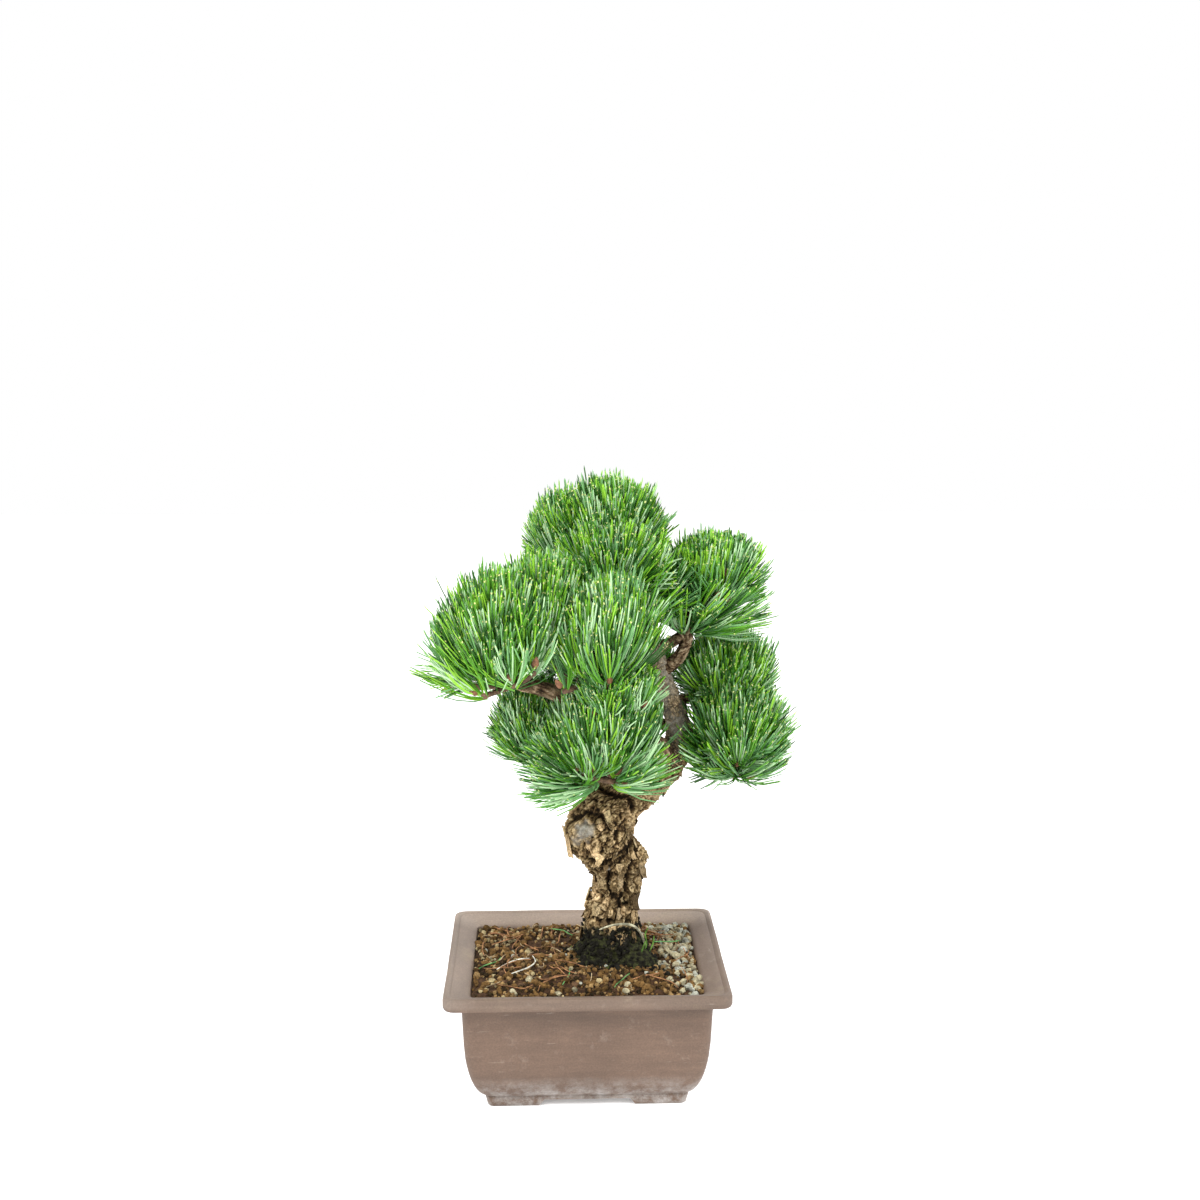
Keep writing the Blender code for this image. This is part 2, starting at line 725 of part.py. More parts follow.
def spray(space, root, way, dice):
    """One spray: an icosahedral core whose outer faces are drawn out into bundles of needles."""
    bm = bmesh.new()
    bmesh.ops.create_icosphere(bm, subdivisions=1, radius=CORE_RADIUS)
    frame = Matrix.Translation(root) @ Matrix.Rotation(dice.uniform(0.0, math.tau), 4, way)
    frame = frame @ way.to_track_quat("Z", "Y").to_matrix().to_4x4()
    bmesh.ops.transform(bm, matrix=frame, verts=bm.verts)
    bm.normal_update()
    length = NEEDLE_LENGTH * dice.uniform(0.92, 1.08)
    tips = []
    for face in bm.faces:
        if face.normal.angle(way) > NEEDLE_SPREAD:
            continue
        needle = (face.normal + way * NEEDLE_ONWARD + UP * NEEDLE_LIFT).normalized()
        start = face.calc_center_median()
        reach = space.room(start, needle, 1.0, length, ROOM_STEP)
        if reach > SHORTEST_NEEDLE:
            tips.append((face, start + needle * reach))
    for face, tip in tips:
        middle = bmesh.ops.poke(bm, faces=[face])["verts"][0]
        middle.co = tip
    return bm, len(tips)


def build_mass(name, number, limbs, stems, collection, pieces, material):
    """A mass of foliage: twigs that fan out from one stem, each with a spray of needles."""
    carrier, middle, half = MASSES[name][:3]
    spacing = SPRAY_SPACING * (half[0] + half[1]) / 2
    dice = random.Random(SEED * 100 + number)
    space = Space(name, limbs, stems)
    stem = stems[name]
    axis = (Vector(middle) - stem.middles[0]).normalized()
    axis = (axis + 0.2 * UP).normalized()
    parts = []
    roots = []
    for index, way in enumerate(fan(axis, TWIGS, TWIG_FAN, dice.uniform(0.0, math.tau))):
        start = stem.at(1.0 - TWIG_ZONE * index / TWIGS)
        room = space.room(start, way, TWIG_RADIUS, 200.0, 5.0)
        root = start + way * max(room - SPRAY_DEPTH, SHORTEST_TWIG)
        crowded = any((root - other).length < spacing for other in roots)
        if crowded or room < SHORTEST_NEEDLE or not space.holds(root, CORE_RADIUS):
            continue
        needles, count = spray(space, root, way, dice)
        if count > 2:
            roots.append(root)
            parts.append(rod(start - way, root + way, TWIG_RADIUS, TWIG_RADIUS * 0.8, 3))
            parts.append(needles)
    for part in parts:
        place("piece", mesh_from(part, "piece"), pieces)
    mass = place(name, mesh_from(limb_mesh(stem, name, 1), name), collection, material)
    cut(mass, pieces, "UNION")
    return mass


def build():
    """Builds the whole plant."""
    clear_scene()
    plant = new_collection("japanese_white_pine_bonsai")
    cutters = new_collection("cutters")
    materials = {name: make_material(name) for name in MATERIALS}
    build_pot(plant, cutters, materials["clay"])
    build_soil(plant, materials["soil"])
    limbs = build_limbs(plant, cutters, materials)
    stems = {name: stem_limb(limbs[row[0]], row[1]) for name, row in MASSES.items()}
    for number, name in enumerate(MASSES):
        material = materials["needles" if number % 2 else "blue_needles"]
        build_mass(name, number, limbs, stems, plant, cutters, material)
    bpy.data.collections.remove(cutters)


build()
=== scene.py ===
"""Looks of the japanese white pine bonsai: bark, needles, soil, moss and clay.

Lengths are in millimetres from the middle of the pot's foot, as in the part's source, and become
metres in the part's frame when a mesh is made. The limbs and the rule that places the twigs are
the source's own, carried on to shoots, bundles and single needles.
"""

import json
import math
import random

import bmesh
import bpy
import numpy as np
from mathutils import Matrix, Vector, noise
from mathutils.bvhtree import BVHTree

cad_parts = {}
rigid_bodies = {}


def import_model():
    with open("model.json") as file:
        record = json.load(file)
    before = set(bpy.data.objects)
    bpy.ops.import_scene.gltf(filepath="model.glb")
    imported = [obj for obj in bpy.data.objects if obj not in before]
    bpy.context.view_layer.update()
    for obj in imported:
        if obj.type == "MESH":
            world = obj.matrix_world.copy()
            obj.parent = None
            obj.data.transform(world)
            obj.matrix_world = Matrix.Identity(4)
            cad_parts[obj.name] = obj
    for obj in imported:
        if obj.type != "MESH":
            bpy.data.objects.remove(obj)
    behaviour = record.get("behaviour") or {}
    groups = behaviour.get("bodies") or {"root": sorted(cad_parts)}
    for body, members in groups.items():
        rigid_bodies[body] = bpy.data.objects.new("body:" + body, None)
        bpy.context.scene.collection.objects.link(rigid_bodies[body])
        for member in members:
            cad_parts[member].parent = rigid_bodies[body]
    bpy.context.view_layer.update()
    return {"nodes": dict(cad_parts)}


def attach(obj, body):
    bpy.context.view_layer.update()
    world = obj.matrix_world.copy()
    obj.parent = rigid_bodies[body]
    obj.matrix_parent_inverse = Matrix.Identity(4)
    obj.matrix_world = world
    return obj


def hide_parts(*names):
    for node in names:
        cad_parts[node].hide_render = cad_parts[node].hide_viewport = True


MM = 0.001
GAP = 0.3
UP = Vector((0.0, 0.0, 1.0))
GOLDEN_ANGLE = math.pi * (3.0 - math.sqrt(5.0))
SEED = 7
BODY = "root"

# Where the pot stands under the spread of the plant
POT_MIDDLE = Vector((-17.9, 2.7, 0.0))

# Photograph's camera
IMAGE_SIZE = 1200
FOCAL_PIXELS = 1568.35
SENSOR = 36.0
CAMERA_AZIMUTH = math.radians(-1.894)
CAMERA_ELEVATION = math.radians(10.29)
CAMERA_DISTANCE = 996.9
CAMERA_TARGET = Vector((9.7, 0.0, 320.4))

# Pot
POT_LENGTH = 180.0
POT_DEPTH = 150.0
POT_HEIGHT = 84.5
LIP_OVERHANG = 10.8
LIP_HEIGHT = 9.0
BEAD_WIDTH = 4.6
RIM_WIDTH = 16.6
RIM_DROP = 5.4
BODY_TAPER = 0.045
BELLY_TOP = 48.0
BELLY_FALL = 40.0
BELLY_TUCK = 12.8
FOOT_BAND = 7.6
FOOT_HEIGHT = 4.8
FOOT_LENGTH = 35.5
FOOT_DEPTH = 29.0
FOOT_SPLAY = 3.6
DRAIN_RADIUS = 8.0
DRAIN_SPACING = 62.0
WALL = 6.6
FLOOR_TOP = 14.0
CORNER_RADIUS = 7.0
CORNER_STEPS = 10
SIDE_STEPS = 24
CLAY_WAVE = 0.35
WIPE_STRETCH = (0.35, 0.35, 3.0)

GROUND = 80.0
# Trunk: middle of each station and its radius, from the ground to the tip
TRUNK = (
    (18.0, 5.0, GROUND, 22.0),
    (17.0, 5.0, 92.0, 18.6),
    (16.5, 5.0, 104.0, 16.8),
    (18.0, 5.0, 117.0, 16.4),
    (21.0, 4.0, 134.0, 15.0),
    (17.5, 0.0, 151.0, 17.5),
    (11.5, -2.5, 168.0, 18.5),
    (16.0, -1.5, 184.5, 18.5),
    (32.0, 3.5, 196.0, 15.5),
    (49.0, 9.0, 205.5, 12.2),
    (59.5, 12.5, 218.0, 9.6),
    (62.5, 13.0, 233.0, 8.1),
    (55.5, 11.0, 251.0, 7.8),
    (49.0, 9.0, 267.0, 7.0),
    (45.0, 8.0, 282.0, 6.4),
    (42.0, 7.0, 297.0, 5.4),
    (35.0, 7.0, 312.0, 4.6),
    (27.0, 7.0, 327.0, 3.8),
    (22.0, 7.0, 343.0, 3.0),
)
TRUNK_STEPS = 24
TRUNK_SIDES = 200
# Swellings of the trunk: place, height of the swelling and its spread
SWELLINGS = (
    ((-7.0, -8.0, 171.0), 7.0, 13.0),
    ((37.0, -2.0, 150.0), 5.0, 9.0),
    ((1.0, -4.0, 152.0), 3.0, 8.0),
    ((34.0, 2.0, 187.0), 2.5, 8.0),
    ((34.0, -6.0, 122.0), 2.0, 8.0),
    ((2.0, -6.0, 112.0), 1.5, 8.0),
)
# Surface roots: compass angle in degrees and how far each swells past the flare
ROOTS = ((-38.0, 15.0), (28.0, 4.0), (95.0, 4.0), (160.0, 5.0), (228.0, 4.0))
ROOT_SPREAD = 9.0
FLARE_TOP = 102.0
BARK_RELIEF = 1.5
BARK_SCALE = 8.0
RELIEF_FADE = 90.0
BARK_LUMP = 1.8
LUMP_SCALE = 13.0
LUMP_START = 20.0
# Folds between the lumps of the old trunk: their line on its front as x and z, depth and width
FOLD_FRONT = -15.0
FOLDS = (
    (((1.0, 152.4), (9.0, 150.1), (17.8, 153.2), (25.6, 159.2), (29.9, 163.3)), 4.2, 2.4),
    (((5.0, 144.0), (13.9, 148.0), (21.7, 152.2), (28.5, 156.5), (31.9, 165.3)), 3.2, 2.0),
    (((-9.0, 180.0), (1.3, 185.8), (10.0, 183.7), (15.8, 174.6)), 3.4, 2.2),
    (((9.1, 199.5), (18.7, 195.4), (27.5, 195.0), (31.0, 185.6)), 3.4, 2.2),
    (((25.5, 179.5), (21.1, 174.5), (18.7, 168.5)), 2.4, 1.8),
    (((34.3, 159.1), (31.4, 150.0), (28.0, 141.9), (27.0, 134.7), (25.7, 126.5)), 4.4, 2.0),
    (((14.4, 144.1), (13.9, 135.9), (14.4, 128.2)), 3.6, 1.8),
    (((5.1, 140.1), (6.1, 131.9), (2.0, 125.8)), 2.8, 1.8),
    (((23.7, 126.5), (25.7, 121.4), (31.6, 117.7), (36.5, 120.7)), 4.0, 2.0),
    (((10.0, 125.0), (15.9, 127.1), (21.7, 123.5), (22.7, 116.0)), 3.0, 1.8),
    (((4.0, 112.0), (12.0, 108.0), (20.0, 111.0), (29.0, 106.0)), 3.0, 2.0),
)
# Bare pale patches of the trunk: place, radius and strength
SCARS = (
    ((-0.5, -20.0, 174.0), 6.5, 0.85),
    ((-6.0, -16.0, 166.0), 4.5, 0.5),
    ((14.0, -17.0, 146.5), 1.4, 0.8),
    ((21.5, -16.0, 148.5), 1.6, 0.8),
    ((60.0, 4.0, 236.0), 9.0, 0.8),
)
MOSS_MIDDLE = Vector((16.0, 3.0, GROUND))
MOSS_HALF = (28.0, 27.0)
MOSS_TOP = 106.0
MOSS_RIDGE = ((20.0, -8.0), (34.0, -16.0), (53.0, -22.0))
RIDGE_HALF = 6.0
AIR_ROOT = ((9.0, -14.5, 105.0), (16.0, -17.0, 108.5), (24.0, -18.0, 110.0), (31.0, -16.5, 108.0),
            (36.0, -12.0, 101.0), (39.0, -5.0, 91.0), (41.0, 4.0, 81.0))
# Loose bark plates that hang off the trunk: middle, way along, way out, length, width, lift
HANGING_PLATES = (
    ((-11.5, -6.0, 162.0), (0.45, 0.0, -1.0), (-1.0, -0.3, -0.3), 20.0, 11.0, 2.2),
    ((-8.0, 4.0, 158.0), (0.35, 0.1, -1.0), (-1.0, 0.3, -0.3), 16.0, 9.0, 1.8),
    ((37.0, -4.0, 152.0), (0.3, 0.0, -1.0), (1.0, -0.4, 0.1), 12.0, 9.0, 2.4),
    ((36.0, -9.0, 143.0), (-0.2, 0.0, -1.0), (1.0, -0.7, 0.0), 10.0, 8.0, 1.8),
    ((33.5, -9.0, 121.0), (0.15, 0.0, -1.0), (0.9, -0.7, 0.0), 11.0, 8.0, 1.8),
)
PLATES = 240

# Boughs: limb each one leaves, how far along that limb, its tip, the arch of its middle, and its
# radius where it leaves and at its tip
BOUGHS = {
    "bough_left": ("trunk", 0.525, (-45.5, -48.0, 279.0), (14.0, -16.0, 8.0), 7.2, 4.4),
    "bough_left_riser": ("bough_left", 0.72, (-23.0, -40.0, 298.0), (1.0, 0.0, 0.0), 4.4, 3.0),
    "bough_front": ("bough_left", 0.62, (-4.0, -54.0, 278.0), (-2.0, -3.0, -2.0), 3.8, 2.8),
    "bough_front_low": ("bough_left", 0.50, (6.0, -53.0, 257.0), (-2.0, -2.0, -3.0), 3.6, 2.6),
    "bough_lower_front": ("trunk", 0.455, (-4.0, -46.0, 218.0), (6.0, -6.0, 2.0), 5.0, 3.0),
    "bough_lower_left": ("trunk", 0.415, (-28.0, -17.0, 221.0), (2.0, -3.0, 3.0), 4.8, 2.8),
    "bough_right_lower": ("trunk", 0.575, (93.5, 8.0, 206.5), (5.5, 0.0, -12.0), 5.4, 3.2),
    "bough_right_middle": ("trunk", 0.665, (86.0, 22.0, 247.0), (0.0, 2.0, 3.0), 3.8, 2.6),
    "bough_right_upper": ("trunk", 0.745, (67.5, 5.0, 309.0), (5.0, 0.0, -6.0), 5.2, 3.2),
    "bough_top_front": ("trunk", 0.885, (19.0, -11.0, 324.0), (0.0, -2.0, -3.0), 3.2, 2.4),
    "bough_top_left": ("trunk", 0.925, (-4.0, 17.0, 340.0), (0.0, 0.0, -3.0), 3.0, 2.3),
    "bough_back_left": ("trunk", 0.430, (-14.0, 38.0, 264.0), (-6.0, 6.0, 0.0), 5.2, 2.8),
    "bough_back_low": ("trunk", 0.600, (32.0, 44.0, 240.0), (2.0, 4.0, -4.0), 4.6, 2.8),
    "bough_back_high": ("trunk", 0.710, (34.0, 38.0, 298.0), (0.0, 4.0, -3.0), 3.8, 2.6),
}
BOUGH_POINTS = 44
BOUGH_SIDES = 36
SHORT_BRANCH = ("trunk", 0.800, (68.0, 6.0, 301.0), (0.0, 0.0, -3.0), 4.6, 3.2)

# Masses of foliage: the limb that carries each one, and its dome: the middle of the widest level, the
# half sizes there along X and Y, and how far it rises and falls from there
MASSES = {
    "foliage_left": ("bough_left", (-52.5, -52.0, 289.5), (44.0, 36.0), 58.5, 19.0),
    "foliage_left_upper": ("bough_left_riser", (-25.5, -38.0, 311.0), (31.5, 30.0), 44.0, 18.0),
    "foliage_front": ("bough_front", (13.0, -50.0, 288.0), (36.5, 34.0), 54.0, 29.0),
    "foliage_front_low": ("bough_front_low", (21.5, -50.0, 265.0), (30.0, 28.0), 23.0, 22.0),
    "foliage_lower_front": ("bough_lower_front", (10.5, -42.0, 232.5), (41.5, 32.0), 42.0, 28.5),
    "foliage_lower_left": ("bough_lower_left", (-31.5, -20.0, 240.0), (28.0, 30.0), 32.0, 24.5),
    "foliage_right_lower": ("bough_right_lower", (98.5, 5.0, 228.5), (34.0, 33.0), 36.5, 29.0),
    "foliage_right_middle": ("bough_right_middle", (95.0, 22.0, 262.5), (34.0, 31.0), 35.0, 20.0),
    "foliage_right_upper": ("bough_right_upper", (84.0, 5.0, 337.0), (32.0, 32.0), 25.0, 36.0),
    "foliage_top_front": ("bough_top_front", (17.5, -14.0, 342.0), (36.0, 29.0), 32.0, 23.5),
    "foliage_top": ("trunk", (16.0, 8.0, 352.5), (37.0, 31.0), 42.0, 20.5),
    "foliage_top_left": ("bough_top_left", (-11.0, 18.0, 349.0), (27.0, 27.0), 37.5, 17.0),
    "foliage_back_left": ("bough_back_left", (-22.0, 40.0, 283.0), (33.0, 30.0), 36.0, 24.0),
    "foliage_back_low": ("bough_back_low", (28.0, 54.0, 256.0), (34.0, 30.0), 34.0, 22.0),
    "foliage_back_high": ("bough_back_high", (30.0, 50.0, 312.0), (35.0, 29.0), 37.0, 22.0),
}
STEM_SHARE = 0.75
SHORTEST_STEM = 9.0
STEM_TIP_RADIUS = 1.9
STEM_STIFFNESS = 1.6
TWIGS = 14
TWIG_ZONE = 0.6
TWIG_FAN = math.radians(100.0)
SPRAY_DEPTH = 33.0
SHORTEST_TWIG = 4.5
CELL_MARGIN = 0.05

# Single shoots low on the boughs: mass, end, way, how far past the dome they reach and how
# strongly their needles bend up
LOOSE_SHOOTS = (
    ("foliage_right_upper", (61.0, 0.0, 300.0), (-0.55, -0.45, 0.75), 0.30, 1.0),
    ("foliage_right_upper", (63.0, 10.0, 303.0), (-0.75, 0.15, 0.70), 0.30, 1.0),
    ("foliage_right_upper", (68.0, -3.0, 302.0), (0.25, -0.80, 0.30), 0.25, 0.6),
    ("foliage_right_upper", (72.0, 3.0, 303.0), (0.85, -0.25, 0.20), 0.30, 0.4),
    ("foliage_top_front", (36.0, -2.0, 314.0), (0.70, -0.40, 0.45), 0.35, 0.6),
    ("foliage_top_front", (40.0, 6.0, 306.0), (0.85, -0.20, 0.30), 0.45, 0.5),
    ("foliage_left", (-44.0, -80.0, 284.0), (-0.35, -0.40, 0.85), 0.02, 1.0),
    ("foliage_left", (-32.0, -79.0, 291.0), (0.15, -0.40, 0.90), 0.02, 1.0),
    ("foliage_left", (-62.0, -74.0, 276.0), (-0.80, -0.35, 0.40), 0.06, 0.5),
    ("foliage_left", (-76.0, -60.0, 277.0), (-0.95, -0.15, 0.00), 0.12, 0.1),
    ("foliage_left", (-70.0, -48.0, 276.0), (-0.90, 0.10, -0.05), 0.12, 0.1),
    ("foliage_front", (-14.0, -71.0, 278.0), (-0.45, -0.50, 0.75), 0.04, 0.8),
    ("foliage_lower_front", (2.0, -47.0, 212.0), (-0.85, -0.35, 0.05), 0.28, 0.2),
    ("foliage_lower_front", (-8.0, -50.0, 214.0), (-0.80, -0.45, 0.15), 0.22, 0.3),
    ("foliage_lower_front", (19.0, -52.0, 216.0), (0.55, -0.60, 0.15), 0.20, 0.4),
    ("foliage_right_lower", (97.0, 2.0, 203.0), (-0.75, -0.35, 0.10), 0.20, 0.8),
    ("foliage_right_lower", (101.0, 2.0, 203.0), (0.80, -0.30, 0.05), 0.10, 0.8),
)
# Shoots: how many leave each twig and how their bundles of needles stand
SHOOTS = 2
SHOOT_FAN = math.radians(72.0)
SHOOT_LIFT = 0.65
OPEN_LIFT = 1.2
SHOOT_TURN = 0.35
HEART_DROP = 0.75
SHOOT_MARGIN = 17.0
SHOOT_RISE = 26.0
LONGEST_SHOOT = 18.0
LOW_SHOOTS = 9
LOW_RISE = 0.1
OPEN_BELOW = ("foliage_left", "foliage_left_upper", "foliage_front")
LOW_MARGIN = 20.0
LOWER_POWER = 3.0
DEEP_INSIDE = 0.86
FARTHEST = 1.25
HEART_SHARE = 0.5
LOWEST_INSIDE = -0.05
BUNDLES = 19
NEEDLES_PER_BUNDLE = 5
BUNDLE_ZONE = 11.0
BUNDLE_SPREAD = 0.17
NEEDLE_LENGTH = 51.0
NEEDLE_WIDTH = 1.12
NEEDLE_PLACES = (0.0, 0.33, 0.66, 0.965)
NEEDLE_THICKNESSES = (0.75, 1.0, 1.0, 0.85)
EDGE_SPREAD = 0.13
FLOW = 0.15
SWAY = 0.28
TIP_LENGTH = 0.055
TIP_SHARE = 0.34

NEEDLE_COLOURS = {
    "needles_bright": (0.225, 0.490, 0.030),
    "needles_green": (0.090, 0.285, 0.018),
    # Painted shade: this darkest colour stands for needles in the crown's shade.
    "needles_painted_shade": (0.020, 0.095, 0.008),
    "needles_blue": (0.140, 0.325, 0.115),
    # Partly the needles' own glaucous grey and partly painted highlight.
    "needles_grey_and_highlight": (0.400, 0.600, 0.330),
}
# Painted light: shares of the colours on shaded shoots and on sunny ones
SHADY_SHARES = (0.09, 0.23, 0.22, 0.25, 0.21)
SUNNY_SHARES = (0.32, 0.22, 0.21, 0.12, 0.13)
TIP_COLOUR = (0.52, 0.55, 0.20)
BUD_COLOUR = (0.190, 0.085, 0.040)

STRAY_SHARE = 0.08
STRAY_REACH = 0.18
LONGEST_REACH = 1.30
NEEDLE_CLEARANCE = 0.3
NEEDLES_IN_PIECE = 8500
TWIG_COLOUR = (0.135, 0.075, 0.042)

# Bark: how deep its relief is and how large its plates are
TRUNK_RELIEF = 1.5
TRUNK_PLATE = 6.0
# Wrinkles round the large swelling
WRINKLE_MIDDLE = Vector((-3.0, -14.0, 172.0))
WRINKLE_WAVE = 5.0
WRINKLE_REACH = 34.0
BOUGH_RELIEF = 1.0
BOUGH_PLATE = 4.2
AIR_ROOT_RADIUS = 0.8
ROOT_COLOUR = (0.420, 0.400, 0.280)

# Moss at the trunk's foot: how many lumps, smallest and largest half size, colour
MOSSES = {
    "dark_moss": (320, 0.9, 2.8, (0.011, 0.010, 0.007)),
    "green_moss": (80, 0.8, 2.0, (0.062, 0.074, 0.020)),
    "moss_crumbs": (90, 0.8, 2.1, (0.100, 0.060, 0.028)),
}
TUFTS = 460
CURL_RADIUS = 0.45
CURL_COLOUR = (0.60, 0.58, 0.50)

# Lights: name, place in metres, size in metres and power in watts
LIGHTS = (
    ("key", (-1.0, -0.9, 1.4), 0.8, 35.0),
    ("fill", (1.3, -0.8, 1.1), 1.0, 23.0),
    ("back", (0.5, 1.3, 1.2), 0.8, 9.0),
)
DRY_GLOSS = 0.12
FLOOR_HALF = 3000.0
FLOOR_GLOW = 0.25


def everywhere(x, y):
    """Crumbs with no favourite place."""
    return 1.0


def to_the_right(x, y):
    """Crumbs that lie mostly at the right and the back right."""
    return 0.03 + 0.97 * min(max((x - 38.0 + 0.25 * y) / 22.0, 0.0), 1.0)


def to_the_left(x, y):
    """Crumbs that lie mostly at the left and the back."""
    return 0.12 + 0.88 * min(max((-x + 0.6 * y) / 60.0, 0.0), 1.0)


# Loose soil: how many, smallest and largest half size, flatness, colour and where the kind lies
CRUMBS = {
    "bark_crumbs": (900, 1.1, 3.2, 0.75, (0.125, 0.069, 0.023), everywhere),
    "dark_crumbs": (700, 0.8, 2.2, 0.7, (0.028, 0.018, 0.007), everywhere),
    "ochre_crumbs": (380, 0.9, 2.8, 0.75, (0.230, 0.145, 0.060), everywhere),
    "tan_crumbs": (150, 1.0, 2.6, 0.8, (0.350, 0.280, 0.150), to_the_left),
    "pumice": (230, 1.2, 3.2, 0.85, (0.320, 0.285, 0.185), to_the_right),
    "grey_pumice": (70, 1.4, 3.4, 0.85, (0.320, 0.325, 0.270), to_the_right),
    "bark_chips": (240, 1.6, 3.4, 0.22, (0.085, 0.048, 0.025), everywhere),
}
# Thin things on the soil: how many, length, thickness, bend, colour
STRAWS = {
    "dead_needles": (46, 24.0, 0.75, 0.35, (0.290, 0.145, 0.070)),
    "pale_straws": (22, 9.0, 0.6, 0.5, (0.400, 0.300, 0.180)),
    "fallen_needles": (6, 22.0, 0.8, 0.2, (0.120, 0.300, 0.100)),
}
# Green sprigs of moss at the trunk's foot
SPRIGS = (
    ((38.0, -7.0, 84.0), (40.0, -8.0, 92.0), (39.0, -9.0, 99.0), (41.0, -10.0, 104.0)),
    ((35.0, -11.0, 84.0), (37.0, -13.0, 90.0), (39.0, -13.0, 96.0)),
    ((41.0, -5.0, 84.0), (44.0, -6.0, 90.0), (45.0, -7.0, 97.0)),
)
SPRIG_RADIUS = 0.55
SPRIG_COLOUR = (0.130, 0.260, 0.050)
WHITE_CURLS = (
    ((-51.0, -33.0), (-44.0, -30.0), (-37.0, -23.0), (-33.0, -12.0), (-35.0, -3.0)),
    ((-58.0, -22.0), (-52.0, -16.0), (-45.0, -11.0), (-37.0, -6.0)),
)


def principled(name, colour, roughness):
    """A Principled material with its node tree and its shader."""
    material = bpy.data.materials.new(name)
    material.use_nodes = True
    shader = material.node_tree.nodes["Principled BSDF"]
    shader.inputs["Base Color"].default_value = (*colour, 1.0)
    shader.inputs["Roughness"].default_value = roughness
    return material, material.node_tree, shader


def node(tree, kind, **inputs):
    """A new shader node with some of its inputs set."""
    made = tree.nodes.new(kind)
    for name, value in inputs.items():
        made.inputs[name.replace("_", " ")].default_value = value
    return made


def grey(value):
    """A grey as a colour."""
    return (value, value, value)


def ramp(tree, source, *stops):
    """A colour ramp fed by a socket."""
    made = tree.nodes.new("ShaderNodeValToRGB")
    elements = made.color_ramp.elements
    while len(elements) < len(stops):
        elements.new(0.5)
    for element, (place, colour) in zip(elements, stops):
        element.position = place
        element.color = (*colour, 1.0)
    tree.links.new(source, made.inputs["Fac"])
    return made.outputs["Color"]


def noise_of(tree, scale, detail=4.0, roughness=0.6, stretch=(1.0, 1.0, 1.0)):
    """A noise pattern in object space, in waves per metre, finer or longer along an axis."""
    place = tree.nodes.new("ShaderNodeTexCoord")
    made = node(tree, "ShaderNodeTexNoise", Scale=scale, Detail=detail, Roughness=roughness)
    mapping = node(tree, "ShaderNodeMapping", Scale=stretch)
    tree.links.new(place.outputs["Object"], mapping.inputs["Vector"])
    tree.links.new(mapping.outputs["Vector"], made.inputs["Vector"])
    return made.outputs["Fac"]


def level_of(tree, axis, low, high):
    """How far a place lies between two levels along an axis, from 0 to 1."""
    place = tree.nodes.new("ShaderNodeTexCoord")
    parts = tree.nodes.new("ShaderNodeSeparateXYZ")
    tree.links.new(place.outputs["Object"], parts.inputs["Vector"])
    made = node(tree, "ShaderNodeMapRange", From_Min=low * MM, From_Max=high * MM)
    tree.links.new(parts.outputs[axis], made.inputs["Value"])
    return made.outputs["Result"]


def attribute(tree, name):
    """A value that is stored on the mesh."""
    made = tree.nodes.new("ShaderNodeAttribute")
    made.attribute_name = name
    return made.outputs["Fac"]


def mix_colour(tree, factor, first, second, how="MIX"):
    """A mix of two colours or colour sockets."""
    made = tree.nodes.new("ShaderNodeMix")
    made.data_type = "RGBA"
    made.blend_type = how
    for socket, value in ((made.inputs[0], factor), (made.inputs[6], first), (made.inputs[7], second)):
        if isinstance(value, bpy.types.NodeSocket):
            tree.links.new(value, socket)
        elif isinstance(value, tuple):
            socket.default_value = (*value, 1.0)
        else:
            socket.default_value = value
    return made.outputs[2]


def times(tree, first, second):
    """The product of two colours."""
    return mix_colour(tree, 1.0, first, second, "MULTIPLY")


def add_bump(tree, shader, height, distance, strength=1.0):
    """Bump from a height socket."""
    bump = node(tree, "ShaderNodeBump", Strength=strength, Distance=distance)
    tree.links.new(height, bump.inputs["Height"])
    tree.links.new(bump.outputs["Normal"], shader.inputs["Normal"])


